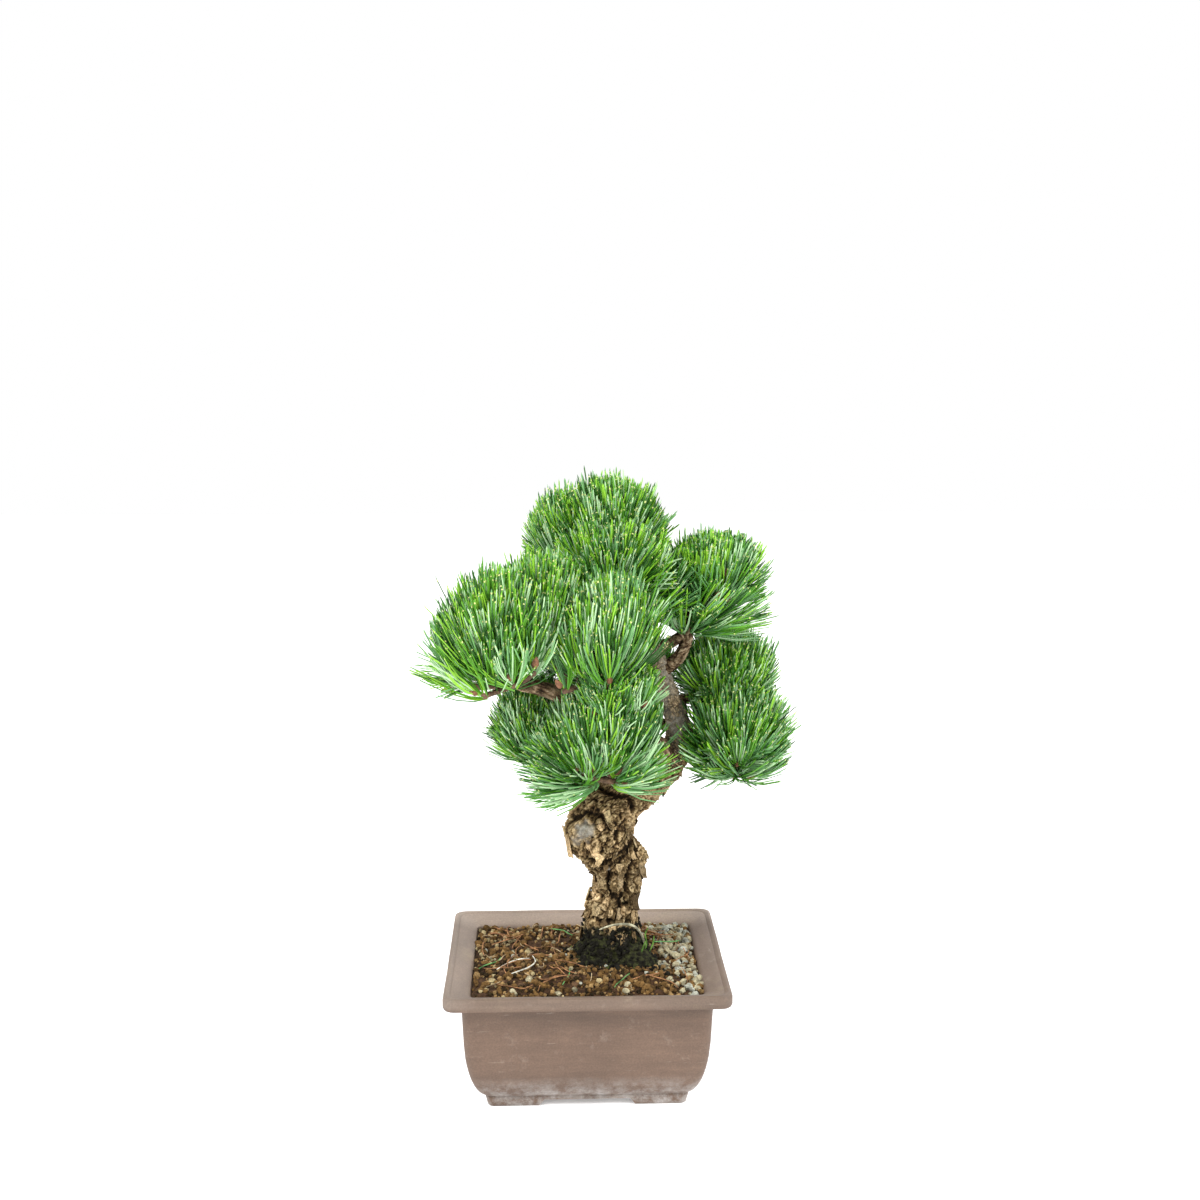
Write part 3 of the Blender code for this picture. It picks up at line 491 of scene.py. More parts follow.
def clay_material():
    """Unglazed brown clay: fine mottling, a greyer rim with stains, painted light on the rim's left end and back, and a
    whitish bloom at the foot.
    """
    material, tree, shader = principled("clay", (0.21, 0.14, 0.10), 0.62)
    broad = ramp(tree, noise_of(tree, 20.0, 6.0, 0.65), (0.32, (0.095, 0.057, 0.037)), (0.68, (0.125, 0.076, 0.050)))
    rim = ramp(tree, level_of(tree, "Z", 70.0, 86.0), (0.34, grey(0.0)), (0.60, grey(0.34)))
    wear_and_painted_light = mix_colour(tree, rim, broad, (0.165, 0.128, 0.100))
    # Painted light: the top of the rim is made lighter towards its left end.
    left = ramp(tree, level_of(tree, "X", -106.0, -84.0), (0.10, grey(0.30)), (1.0, grey(0.0)))
    left_rim_painted_light_mask = times(tree, left, ramp(tree, level_of(tree, "Z", 70.0, 86.0), (0.45, grey(0.0)), (0.62, grey(1.0))))
    wear_and_painted_light = mix_colour(tree, left_rim_painted_light_mask, wear_and_painted_light, (0.240, 0.200, 0.168))
    # Painted highlight: the back of the rim is made much lighter.
    back = times(tree, rim, ramp(tree, level_of(tree, "Y", 50.0, 66.0), (0.0, grey(0.0)), (1.0, grey(1.0))))
    wear_and_painted_light = mix_colour(tree, back, wear_and_painted_light, (0.420, 0.340, 0.275))
    stains = ramp(tree, noise_of(tree, 38.0, 5.0, 0.7), (0.55, grey(0.0)), (0.72, grey(0.8)))
    stained = mix_colour(tree, times(tree, stains, rim), wear_and_painted_light, (0.270, 0.215, 0.125))
    corner = ramp(tree, level_of(tree, "X", -107.0, -96.0), (0.25, grey(1.0)), (1.0, grey(0.0)))
    lip = ramp(tree, level_of(tree, "Z", 74.0, 84.0), (0.15, grey(1.0)), (0.55, grey(0.0)))
    soot = ramp(tree, noise_of(tree, 210.0, 4.0, 0.7), (0.42, grey(0.0)), (0.52, grey(0.85)))
    stained = mix_colour(tree, times(tree, times(tree, corner, lip), soot), stained, (0.035, 0.033, 0.036))
    low = ramp(tree, level_of(tree, "Z", 0.0, 30.0), (0.0, grey(1.0)), (0.35, grey(0.8)), (0.85, grey(0.0)))
    crust = ramp(tree, noise_of(tree, 85.0, 7.0, 0.75), (0.40, grey(0.0)), (0.62, grey(0.9)))
    bloomed = mix_colour(tree, times(tree, low, crust), stained, (0.330, 0.310, 0.290))
    wiped = ramp(tree, noise_of(tree, 70.0, 8.0, 0.75), (0.58, grey(0.0)), (0.76, grey(0.4)))
    wiped_over = mix_colour(tree, wiped, bloomed, (0.270, 0.215, 0.172))
    streaks = ramp(tree, noise_of(tree, 60.0, 5.0, 0.7, WIPE_STRETCH), (0.35, grey(0.90)), (0.65, grey(1.12)))
    scratches = ramp(tree, noise_of(tree, 160.0, 4.0, 0.6, WIPE_STRETCH), (0.66, grey(0.0)), (0.74, grey(0.5)))
    marked = mix_colour(tree, scratches, times(tree, wiped_over, streaks), (0.260, 0.210, 0.170))
    grain = ramp(tree, noise_of(tree, 900.0, 3.0), (0.30, grey(0.84)), (0.70, grey(1.12)))
    tree.links.new(times(tree, marked, grain), shader.inputs["Base Color"])
    add_bump(tree, shader, noise_of(tree, 800.0, 4.0), 0.0003, 0.5)
    return material


def soil_material():
    """Dark moist soil between the crumbs."""
    material, tree, shader = principled("soil", (0.06, 0.035, 0.02), 0.95)
    shader.inputs["Specular IOR Level"].default_value = DRY_GLOSS
    colour = ramp(tree, noise_of(tree, 300.0, 5.0), (0.3, (0.016, 0.009, 0.005)), (0.7, (0.085, 0.044, 0.022)))
    tree.links.new(colour, shader.inputs["Base Color"])
    add_bump(tree, shader, noise_of(tree, 500.0, 5.0), 0.002, 1.0)
    return material


def bark_material(name, dark, middle, light, scale):
    """Flaky bark: dark in its cracks, partly its own colour and partly painted shade, and pale on its plates, with bare
    patches and moss.
    """
    material, tree, shader = principled(name, middle, 0.88)
    shader.inputs["Specular IOR Level"].default_value = DRY_GLOSS
    relief = attribute(tree, "relief")
    # Painted shade: the colour falls to almost black where the relief value is low, in cracks, folds and under loose
    # plates, darker than the bark's own colour there.
    deep = tuple(0.25 * part for part in dark)
    plates = ramp(tree, relief, (0.14, deep), (0.36, dark), (0.60, middle), (0.88, light))
    tones = ramp(
        tree,
        attribute(tree, "tone"),
        (0.0, (0.66, 0.60, 0.56)),
        (0.4, (1.00, 0.93, 0.80)),
        (0.7, (1.12, 0.98, 0.86)),
        (1.0, (1.30, 1.28, 1.22)),
    )
    patches = ramp(tree, noise_of(tree, scale, 5.0), (0.34, (0.72, 0.66, 0.55)), (0.66, (1.25, 1.18, 1.05)))
    grain = ramp(tree, noise_of(tree, scale * 11.0, 6.0, 0.8), (0.38, grey(0.32)), (0.60, grey(1.55)))
    coloured = times(tree, times(tree, plates, tones), times(tree, patches, grain))
    scar = ramp(tree, noise_of(tree, scale * 5.0, 5.0, 0.7), (0.36, (0.13, 0.115, 0.08)), (0.66, (0.46, 0.44, 0.39)))
    bare = mix_colour(tree, attribute(tree, "pale"), coloured, scar)
    green = ramp(tree, noise_of(tree, 330.0, 4.0), (0.42, (0.010, 0.009, 0.006)), (0.70, (0.048, 0.052, 0.018)))
    tree.links.new(mix_colour(tree, attribute(tree, "moss"), bare, green), shader.inputs["Base Color"])
    add_bump(tree, shader, noise_of(tree, scale * 18.0, 6.0, 0.7), 0.0010, 0.9)
    return material


def twig_material(name, colour):
    """Rough brown twigs and scaly buds."""
    material, tree, shader = principled(name, colour, 0.85)
    dark = tuple(0.4 * part for part in colour)
    light = tuple(min(1.7 * part, 0.9) for part in colour)
    shade = ramp(tree, noise_of(tree, 350.0, 4.0, 0.7), (0.36, dark), (0.5, colour), (0.68, light))
    tree.links.new(shade, shader.inputs["Base Color"])
    add_bump(tree, shader, noise_of(tree, 900.0, 4.0), 0.0008, 1.0)
    return material


def needle_material(name, colour):
    """Satin needles of one plain colour."""
    material, tree, shader = principled(name, colour, 0.45)
    shader.inputs["Specular IOR Level"].default_value = 0.35
    satin = ramp(tree, noise_of(tree, 400.0), (0.3, grey(0.36)), (0.7, grey(0.56)))
    tree.links.new(satin, shader.inputs["Roughness"])
    return material


def crumb_material(name, colour):
    """Porous crumbs, lighter and darker from one to the next."""
    material, tree, shader = principled(name, colour, 0.95)
    shader.inputs["Specular IOR Level"].default_value = DRY_GLOSS
    dark = tuple(0.42 * part for part in colour)
    light = tuple(min(1.45 * part, 0.85) for part in colour)
    shade = ramp(tree, noise_of(tree, 170.0, 3.0), (0.36, dark), (0.5, colour), (0.64, light))
    grain = ramp(tree, noise_of(tree, 1100.0, 4.0), (0.35, grey(0.65)), (0.65, grey(1.2)))
    tree.links.new(times(tree, shade, grain), shader.inputs["Base Color"])
    add_bump(tree, shader, noise_of(tree, 1500.0, 4.0), 0.0004, 1.0)
    return material


def floor_material():
    """The plain pale floor."""
    material, tree, shader = principled("floor", (0.90, 0.90, 0.90), 0.7)
    shader.inputs["Emission Color"].default_value = (1.0, 1.0, 1.0, 1.0)
    shader.inputs["Emission Strength"].default_value = FLOOR_GLOW
    return material


def mesh_object(name, points, triangles, material, smooth=False):
    """An object from points in millimetres of the pot's frame and triangles."""
    mesh = bpy.data.meshes.new(name)
    points = (np.asarray(points, float) + np.array(POT_MIDDLE)) * MM
    triangles = np.asarray(triangles, np.int32)
    mesh.vertices.add(len(points))
    mesh.vertices.foreach_set("co", points.astype(np.float32).ravel())
    mesh.loops.add(3 * len(triangles))
    mesh.loops.foreach_set("vertex_index", triangles.ravel())
    mesh.polygons.add(len(triangles))
    mesh.polygons.foreach_set("loop_start", np.arange(0, 3 * len(triangles), 3, dtype=np.int32))
    mesh.update(calc_edges=True)
    mesh.materials.append(material)
    mesh.polygons.foreach_set("use_smooth", np.full(len(triangles), smooth))
    thing = bpy.data.objects.new(name, mesh)
    bpy.context.scene.collection.objects.link(thing)
    return thing


def joined(parts):
    """Points and triangles of many closed parts, put together."""
    points = []
    triangles = []
    start = 0
    for corners, faces in parts:
        points.append(corners)
        triangles.append(np.asarray(faces) + start)
        start += len(corners)
    return np.concatenate(points), np.concatenate(triangles)


def inset_ring(inset, z):
    """The pot's outline drawn in by a distance, with rounded corners."""
    radius = max(CORNER_RADIUS - 0.12 * inset, 3.0)
    half_x, half_y = POT_LENGTH / 2 - inset, POT_DEPTH / 2 - inset
    points = []
    for quarter, (side_x, side_y) in enumerate(((1, 1), (-1, 1), (-1, -1), (1, -1))):
        for step in range(CORNER_STEPS + 1):
            angle = math.pi / 2 * (quarter + step / CORNER_STEPS)
            x = side_x * (half_x - radius) + radius * math.cos(angle)
            y = side_y * (half_y - radius) + radius * math.sin(angle)
            points.append(Vector((x, y, z)))
    ring = []
    for index, corner in enumerate(points):
        after = points[(index + 1) % len(points)]
        steps = SIDE_STEPS if index % (CORNER_STEPS + 1) == CORNER_STEPS else 1
        for step in range(steps):
            ring.append(corner.lerp(after, step / steps))
    return ring


def body_inset(z):
    """How far the pot's outer wall stands in from the rim's edge at a height."""
    top = POT_HEIGHT - LIP_HEIGHT
    inset = LIP_OVERHANG + BODY_TAPER * (top - z)
    if z < BELLY_TOP:
        fall = (BELLY_TOP - z) / BELLY_FALL
        inset += BELLY_TUCK * (1.0 - math.sqrt(max(1.0 - fall * fall, 0.0)))
    return inset


def pot_profile():
    """Inset and height of the pot's section, from the foot over the rim to the floor inside."""
    foot = body_inset(FOOT_BAND + 1.2)
    under = POT_HEIGHT - LIP_HEIGHT
    profile = [
        (foot + 3.0, 0.0),
        (foot + 2.2, 0.8),
        (foot + 0.9, FOOT_BAND - 0.9),
        (foot + 1.2, FOOT_BAND),
    ]
    for height in (9.2, 10.5, 12.0, 14.0, 16.0, 18.5, 21.0, 24.5, 28.0, 33.0, 38.0, BELLY_TOP, 62.0, under - 4.5):
        profile.append((body_inset(height), height))
    edge = POT_HEIGHT - RIM_DROP
    profile += [
        (LIP_OVERHANG - 0.6, under - 2.0),
        (LIP_OVERHANG - 2.6, under - 0.6),
        (2.2, under),
        (0.6, under + 0.8),
        (0.0, under + 2.4),
        (0.0, POT_HEIGHT - 2.0),
        (0.6, POT_HEIGHT - 0.7),
        (2.2, POT_HEIGHT),
        (BEAD_WIDTH - 0.8, POT_HEIGHT - 0.4),
        (BEAD_WIDTH, POT_HEIGHT - 1.2),
        (BEAD_WIDTH + 0.8, POT_HEIGHT - 1.1),
        (RIM_WIDTH - 2.6, edge + 0.9),
        (RIM_WIDTH - 0.7, edge - 0.4),
        (RIM_WIDTH, edge - 2.2),
    ]
    for height in (66.0, BELLY_TOP, 34.0, 24.0):
        profile.append((body_inset(height) + WALL, height))
    profile.append((body_inset(24.0) + WALL + 6.0, FLOOR_TOP))
    return profile


def lofted(rings):
    """Points and triangles of a closed solid through rings of equal counts."""
    count = len(rings[0])
    points = [corner for ring in rings for corner in ring]
    triangles = []
    for row in range(len(rings) - 1):
        for index in range(count):
            a, b = row * count + index, row * count + (index + 1) % count
            triangles += [(a, b, b + count), (a, b + count, a + count)]
    for row, turn in ((0, 1), (len(rings) - 1, -1)):
        middle = sum(rings[row], Vector()) / count
        for index in range(count):
            a, b = row * count + index, row * count + (index + 1) % count
            triangles.append((len(points), b, a)[::turn])
        points.append(middle)
    return np.array([tuple(point) for point in points]), np.array(triangles)


def build_pot(material):
    """The hand-pressed clay pot: the source's section, finer and a little uneven."""
    rings = [inset_ring(inset, z) for inset, z in pot_profile()]
    for ring in rings[: -6]:
        for corner in ring:
            away = Vector((corner.x, corner.y, 0.0)).normalized()
            wave = noise.noise(corner / 55.0) + 0.35 * noise.noise(corner / 11.0)
            corner += away * CLAY_WAVE * wave
            if corner.z > FOOT_BAND:
                corner.z += 0.5 * CLAY_WAVE * noise.noise(corner / 40.0 + UP * 9.0)
    points, triangles = lofted(rings)
    pot = mesh_object("pot_clay", points, triangles, material)
    foot_edge = body_inset(FOOT_BAND + 1.2) + 3.0
    cutters = bpy.data.collections.new("cutters")
    bpy.context.scene.collection.children.link(cutters)
    for half, axis in ((POT_LENGTH / 2 - foot_edge - FOOT_LENGTH, 0), (POT_DEPTH / 2 - foot_edge - FOOT_DEPTH, 1)):
        rings = []
        for z, reach in ((-FOOT_HEIGHT, half + FOOT_SPLAY * 2), (FOOT_HEIGHT, half)):
            ring = []
            for wide, long in ((1, 1), (-1, 1), (-1, -1), (1, -1)):
                place = (wide * reach, long * POT_LENGTH)
                ring.append(Vector((*(place if axis == 0 else (-place[1], place[0])), z)))
            rings.append(ring)
        cutters.objects.link(mesh_object("cutter", *lofted(rings), material))
    for side in (-1, 1):
        rings = []
        for z in (-FLOOR_TOP / 2, FLOOR_TOP * 1.5):
            turns = [math.tau * step / 32 for step in range(32)]
            rings.append([
                Vector((side * DRAIN_SPACING / 2 + DRAIN_RADIUS * math.cos(turn), DRAIN_RADIUS * math.sin(turn), z))
                for turn in turns
            ])
        cutters.objects.link(mesh_object("cutter", *lofted(rings), material))
    modifier = pot.modifiers.new("Boolean", "BOOLEAN")
    modifier.operation = "DIFFERENCE"
    modifier.operand_type = "COLLECTION"
    modifier.collection = cutters
    graph = bpy.context.evaluated_depsgraph_get()
    pot.data = bpy.data.meshes.new_from_object(pot.evaluated_get(graph))
    pot.modifiers.clear()
    for cutter in list(cutters.objects):
        bpy.data.objects.remove(cutter, do_unlink=True)
    bpy.data.collections.remove(cutters)
    pot.data.shade_smooth()
    pot.data.set_sharp_from_angle(angle=math.radians(35.0))
    return pot


def catmull_rom(points, steps):
    """A smooth line through points that may carry a radius as a fourth number."""
    points = [np.array(point, float) for point in points]
    line = []
    last = len(points) - 1
    for index in range(last):
        a, b = points[max(index - 1, 0)], points[index]
        c, d = points[index + 1], points[min(index + 2, last)]
        for step in range(steps):
            t = step / steps
            line.append(
                0.5
                * (
                    2 * b
                    + (c - a) * t
                    + (2 * a - 5 * b + 4 * c - d) * t * t
                    + (3 * b - a - 3 * c + d) * t * t * t
                )
            )
    line.append(points[last])
    return line


class Limb:
    """A tapering limb along a line of middles and radii."""

    def __init__(self, middles, radii):
        self.middles = [Vector(middle) for middle in middles]
        self.radii = [float(radius) for radius in radii]

    def at(self, share):
        """The middle of the limb at a share of its length."""
        lengths = [(b - a).length for a, b in zip(self.middles, self.middles[1:])]
        left = share * sum(lengths)
        for index, length in enumerate(lengths):
            if left <= length:
                return self.middles[index].lerp(self.middles[index + 1], left / length)
            left -= length
        return self.middles[-1].copy()

    def tip_direction(self):
        """The way the limb points at its tip."""
        return (self.middles[-1] - self.middles[-2]).normalized()

    def clearances(self, points):
        """The distances from an array of points to the limb's surface."""
        nearest = np.full(len(points), 1e9)
        pairs = zip(self.middles, self.middles[1:], self.radii, self.radii[1:])
        for start, end, thick, thin in pairs:
            along = np.array(end - start)
            t = np.clip((points - np.array(start)) @ along / (along @ along), 0.0, 1.0)
            away = points - np.array(start) - t[:, None] * along
            nearest = np.minimum(nearest, np.linalg.norm(away, axis=1) - thick - (thin - thick) * t)
        return nearest


def trunk_limb(steps):
    """The trunk's smooth line."""
    line = catmull_rom(TRUNK, steps)
    return Limb([point[:3] for point in line], [point[3] for point in line])


def bough_limb(limbs, parent, share, tip, arch, thick, thin):
    """A bough from inside its parent to its tip, arched at its middle."""
    start = limbs[parent].at(share)
    tip = Vector(tip)
    bend = start.lerp(tip, 0.5) + 2.0 * Vector(arch)
    middles = []
    radii = []
    for index in range(BOUGH_POINTS):
        t = index / (BOUGH_POINTS - 1)
        middles.append((1 - t) ** 2 * start + 2 * t * (1 - t) * bend + t * t * tip)
        radii.append(thick + (thin - thick) * t ** 0.8)
    return Limb(middles, radii)


def tube(limb, sides):
    """Points of a closed tube along a limb, each point's way out, and the triangles."""
    middles = np.array([tuple(middle) for middle in limb.middles])
    tangents = np.gradient(middles, axis=0)
    tangents /= np.linalg.norm(tangents, axis=1)[:, None]
    side = np.array((1.0, 0.0, 0.0)) if abs(tangents[0][0]) < 0.9 else np.array((0.0, 1.0, 0.0))
    rings = []
    outward = []
    for middle, tangent, radius in zip(middles, tangents, limb.radii):
        side = side - tangent * (side @ tangent)
        side /= np.linalg.norm(side)
        other = np.cross(tangent, side)
        angles = np.arange(sides) * math.tau / sides
        ways = np.outer(np.cos(angles), side) + np.outer(np.sin(angles), other)
        rings.append(middle + radius * ways)
        outward.append(ways)
    points = np.concatenate(rings + [middles[:1], middles[-1:]])
    outward = np.concatenate(outward + [-tangents[:1], tangents[-1:]])
    count = len(middles)
    triangles = []
    ring = np.arange(sides)
    after = (ring + 1) % sides
    for row in range(count - 1):
        low, high = row * sides, (row + 1) * sides
        triangles.append(np.stack((low + ring, low + after, high + after), 1))
        triangles.append(np.stack((low + ring, high + after, high + ring), 1))
    bottom, top = count * sides, count * sides + 1
    triangles.append(np.stack((np.full(sides, bottom), after, ring), 1))
    last = (count - 1) * sides
    triangles.append(np.stack((np.full(sides, top), last + ring, last + after), 1))
    return points, outward, np.concatenate(triangles)


def bark_height(point, size):
    """Height of plated bark from about -1 to 1, how open it lies from 0 to 1, which sets the bark's brightness and so
    paints shade into its cracks and wrinkles, and the plate's tone.
    """
    warped = point + noise.noise_vector(point / (size * 1.4)) * size * 0.9
    rise = 0.6 + 0.75 * min(max((point.z - 143.0) / 12.0, 0.0), 1.0) * min(max((204.0 - point.z) / 14.0, 0.0), 1.0)
    warped = Vector((warped.x, warped.y, warped.z * rise)) / size
    near, spots = noise.voronoi(warped)
    crack = min((near[1] - near[0]) / 0.20, 1.0)
    tone = 0.5 + 0.5 * noise.noise(spots[0] * 9.7)
    tilt = (warped - spots[0]).dot(noise.noise_vector(spots[0] * 5.3)) * 2.0
    small = (warped + noise.noise_vector(warped * 3.0) * 0.25) * 2.6
    near, spots = noise.voronoi(small)
    chip = min((near[1] - near[0]) / 0.22, 1.0)
    flake = noise.noise(spots[0] * 7.9)
    fine = noise.fractal(point / (size * 0.26), 0.7, 2.1, 5)
    height = 1.0 * crack + 0.9 * (tone - 0.5) + 0.8 * tilt * crack + 0.5 * flake + 0.35 * chip + 0.24 * fine
    painted_shade_and_tone = 0.02 + 0.40 * crack + 0.22 * chip + 0.22 * tone + 0.26 * flake + 0.28 * fine
    away = point - WRINKLE_MIDDLE
    ring = away.length + 3.0 * noise.noise(point / 9.0)
    wrinkle = math.sin(ring * math.tau / WRINKLE_WAVE) * min(max((WRINKLE_REACH - away.length) / 10.0, 0.0), 1.0)
    return height - 0.95 + 0.35 * wrinkle, painted_shade_and_tone + 0.13 * wrinkle, tone


def fold_depths(points):
    """How deep the trunk's folds cut at each point, and how much painted shade darkens them there."""
    depths = np.zeros(len(points))
    shades = np.zeros(len(points))
    flat = points[:, (0, 2)]
    facing = np.clip((FOLD_FRONT + 13.0 - points[:, 1]) / 9.0, 0.0, 1.0)
    for line, depth, width in FOLDS:
        nearest = np.full(len(points), 1e9)
        for start, end in zip(line, line[1:]):
            along = np.array(end) - np.array(start)
            t = np.clip((flat - np.array(start)) @ along / (along @ along), 0.0, 1.0)
            away = flat - np.array(start) - t[:, None] * along
            nearest = np.minimum(nearest, np.linalg.norm(away, axis=1))
        depths = np.maximum(depths, depth * facing * np.exp(-((nearest / width) ** 2)))
        shades = np.maximum(shades, facing * np.exp(-((nearest / (0.62 * width)) ** 2)))
    return depths, shades


def paleness(point):
    """How bare and pale the trunk is at a place."""
    ragged = 0.5 * noise.noise(point / 3.5)
    pale = 0.50 * min(max((point.z - 206.0) / 30.0, 0.0), 1.0) * (0.8 + noise.noise(point / 9.0))
    for middle, radius, strength in SCARS:
        away = (point - Vector(middle)).length / radius
        pale = max(pale, strength * min(max(1.6 * (1.15 + ragged - away), 0.0), 1.0))
    return min(max(pale, 0.0), 1.0)


def mossiness(point):
    """How much moss covers the trunk at a place."""
    top = MOSS_TOP + 7.0 * noise.noise(point / 7.0) + 5.0 * noise.noise(point / 2.6)
    return min(max((top - point.z) / 5.0, 0.0), 1.0)


def store(thing, name, values):
    """Keeps a value between 0 and 1 on each point of a mesh."""
    made = thing.data.attributes.new(name, "FLOAT", "POINT")
    made.data.foreach_set("value", np.clip(values, 0.0, 1.0).astype(np.float32))


def bark_skin(name, limb, sides, depth, size, material, old=False):
    """A limb's fine surface with plated relief; the old trunk has folds, bare patches and moss too."""
    points, outward, triangles = tube(limb, sides)
    if old:
        points = shape_trunk(points, outward)
    radii = np.repeat(limb.radii, sides)
    radii = np.concatenate((radii, [limb.radii[0], limb.radii[-1]]))
    sizes = size * np.clip(radii / 14.0, 0.45, 1.0) if old else np.full(len(points), size)
    places = [Vector(point) for point in points]
    rows = np.array([bark_height(place, scale) for place, scale in zip(places, sizes)])
    heights, relief, tones = rows.T
    moves = depth * heights * np.clip(radii / 12.0, 0.3, 1.0)
    pale = np.zeros(len(points))
    moss = np.zeros(len(points))
    if old:
        pale = np.array([paleness(place) for place in places])
        moss = np.array([mossiness(place) for place in places])
        moves *= 1.0 - 0.6 * pale
        cuts, shades = fold_depths(points)
        moves -= cuts
        # Painted shade: the folds are darkened in colour as well as cut.
        relief -= 0.6 * shades
    points = points + outward * moves[:, None]
    points[:, 2] = np.maximum(points[:, 2], GROUND - 2.0)
    thing = mesh_object(name, points, triangles, material, smooth=True)
    store(thing, "relief", relief)
    store(thing, "tone", tones)
    store(thing, "pale", pale)
    store(thing, "moss", moss)
    return thing, points, outward, moss


def shape_trunk(points, outward):
    """Gives the bare trunk its swellings and surface roots, as in the source."""
    middle = np.array(TRUNK[0][:3])
    bulges = list(SWELLINGS)
    for angle, push in ROOTS:
        way = np.array((math.cos(math.radians(angle)), math.sin(math.radians(angle)), 0.0))
        bulges.append((tuple(middle + way * TRUNK[0][3]), push, ROOT_SPREAD))
    fade = np.clip((TRUNK[-1][2] - points[:, 2]) / RELIEF_FADE, 0.0, 1.0)
    above = np.clip((points[:, 2] - GROUND) / LUMP_START, 0.0, 1.0)
    relief = [noise.noise(Vector(point) / BARK_SCALE) for point in points]
    lumps = [noise.noise(Vector(point) / LUMP_SCALE) for point in points]
    push = fade * (BARK_RELIEF * np.array(relief) + BARK_LUMP * above * np.array(lumps))
    for place, height, spread in bulges:
        away = np.linalg.norm(points - np.array(place), axis=1) / spread
        push += height * np.exp(-away * away)
    level = points - middle
    level[:, 2] = 0.0
    level /= np.maximum(np.linalg.norm(level, axis=1), 1e-6)[:, None]
    share = np.clip((points[:, 2] - GROUND) / (FLARE_TOP - GROUND), 0.0, 1.0)[:, None]
    way = level * (1.0 - share) + outward * share
    way /= np.maximum(np.linalg.norm(way, axis=1), 1e-6)[:, None]
    return points + way * push[:, None]


def bark_plate(middle, way, out, length, width, lift, dice):
    """One bent bark plate, held at its upper end and standing off the wood at its lower end."""
    out = out.normalized()
    way = (way - out * way.dot(out)).normalized()
    side = out.cross(way)
    rows, columns = 6, 5
    curl = dice.uniform(-0.15, 0.25)
    twist = dice.uniform(-0.5, 0.5)
    top = []
    under = []
    for row in range(rows):
        u = row / (rows - 1)
        half = 0.5 * width * (0.55 + 0.45 * math.sin(math.pi * min(u + 0.2, 1.0))) * dice.uniform(0.75, 1.15)
        shift = dice.uniform(-0.08, 0.08) * width
        for column in range(columns):
            v = 2.0 * column / (columns - 1) - 1.0
            rise = lift * (u ** 1.4) + width * curl * v * v * (0.3 + u) + lift * twist * v * u - 0.5
            rise += dice.uniform(-0.12, 0.12)
            point = middle + way * length * (u - 0.5 + dice.uniform(-0.04, 0.04)) + side * (half * v + shift)
            top.append(point + out * rise)
            under.append(point + out * (rise - 0.9 + 0.4 * abs(v)))
    count = rows * columns
    triangles = []
    for row in range(rows - 1):
        for column in range(columns - 1):
            a = row * columns + column
            b, c, d = a + 1, a + columns + 1, a + columns
            triangles += [(a, c, b), (a, d, c)]
            triangles += [(count + a, count + b, count + c), (count + a, count + c, count + d)]
    loop = list(range(columns))
    loop += [row * columns + columns - 1 for row in range(1, rows)]
    loop += [count - 1 - step for step in range(1, columns)]
    loop += [row * columns for row in range(rows - 2, 0, -1)]
    for a, b in zip(loop, loop[1:] + loop[:1]):
        triangles += [(a, b, count + b), (a, count + b, count + a)]
    return np.array([tuple(point) for point in top + under]), np.array(triangles)


def build_plates(points, outward, material):
    """Loose plates all over the trunk's bark, and the large ones that hang off it."""
    dice = random.Random(SEED)
    parts = []
    for middle, way, out, length, width, lift in HANGING_PLATES:
        parts.append(bark_plate(Vector(middle), Vector(way), Vector(out), length, width, lift, dice))
    while len(parts) < PLATES:
        index = dice.randrange(len(points) - 2)
        middle, out = Vector(points[index]), Vector(outward[index])
        bare = paleness(middle) > 0.4
        if not GROUND + 14.0 < middle.z < 262.0 or bare or dice.random() > 1.3 - (middle.z - GROUND) / 160.0:
            continue
        way = Vector((dice.uniform(-0.7, 0.7), dice.uniform(-0.7, 0.7), -1.0))
        length = dice.uniform(4.0, 10.0) * (1.0 if middle.z < 200.0 else 0.6)
        parts.append(bark_plate(middle, way, out, length, length * dice.uniform(0.4, 0.8), dice.uniform(0.7, 2.0), dice))
    corners, triangles = joined(parts)
    thing = mesh_object("bark_plates", corners, triangles, material)
    each = len(parts[0][0])
    relief = np.repeat([dice.uniform(0.45, 0.95) for _ in parts], each)
    # Painted shade: the plates' undersides get a low relief value, which colours them dark.
    under = np.tile(np.arange(each) >= each // 2, len(parts))
    store(thing, "relief", np.where(under, 0.25, relief))
    store(thing, "tone", np.repeat([dice.random() for _ in parts], each))
    store(thing, "pale", np.zeros(len(corners)))
    store(thing, "moss", np.zeros(len(corners)))
    return thing


def turned(axis, tilt, spin):
    """A direction tilted off an axis, at an angle round it."""
    side = axis.cross(UP if abs(axis.z) < 0.9 else Vector((1.0, 0.0, 0.0))).normalized()
    other = axis.cross(side)
    away = side * math.cos(spin) + other * math.sin(spin)
    return (axis * math.cos(tilt) + away * math.sin(tilt)).normalized()


def fan(axis, count, spread, start):
    """Directions spread evenly over a cap round an axis, in a golden-angle spiral."""
    ways = []
    for index in range(count):
        share = (index + 0.35) / count
        tilt = math.acos(1.0 - share * (1.0 - math.cos(spread)))
        ways.append(turned(axis, tilt, start + index * GOLDEN_ANGLE))
    return ways


CENTRES = np.array([row[1] for row in MASSES.values()])
RISING = np.array([(*row[2], row[3]) for row in MASSES.values()])
FALLING = np.array([(*row[2], row[4]) for row in MASSES.values()])


def reaches(points):
    """How far out points lie in each mass's dome: 0 at its middle and 1 at its edge."""
    away = points[:, None, :] - CENTRES[None]
    halves = np.where(away[:, :, 2:3] > 0.0, RISING[None], FALLING[None])
    return np.linalg.norm(away / halves, axis=2)


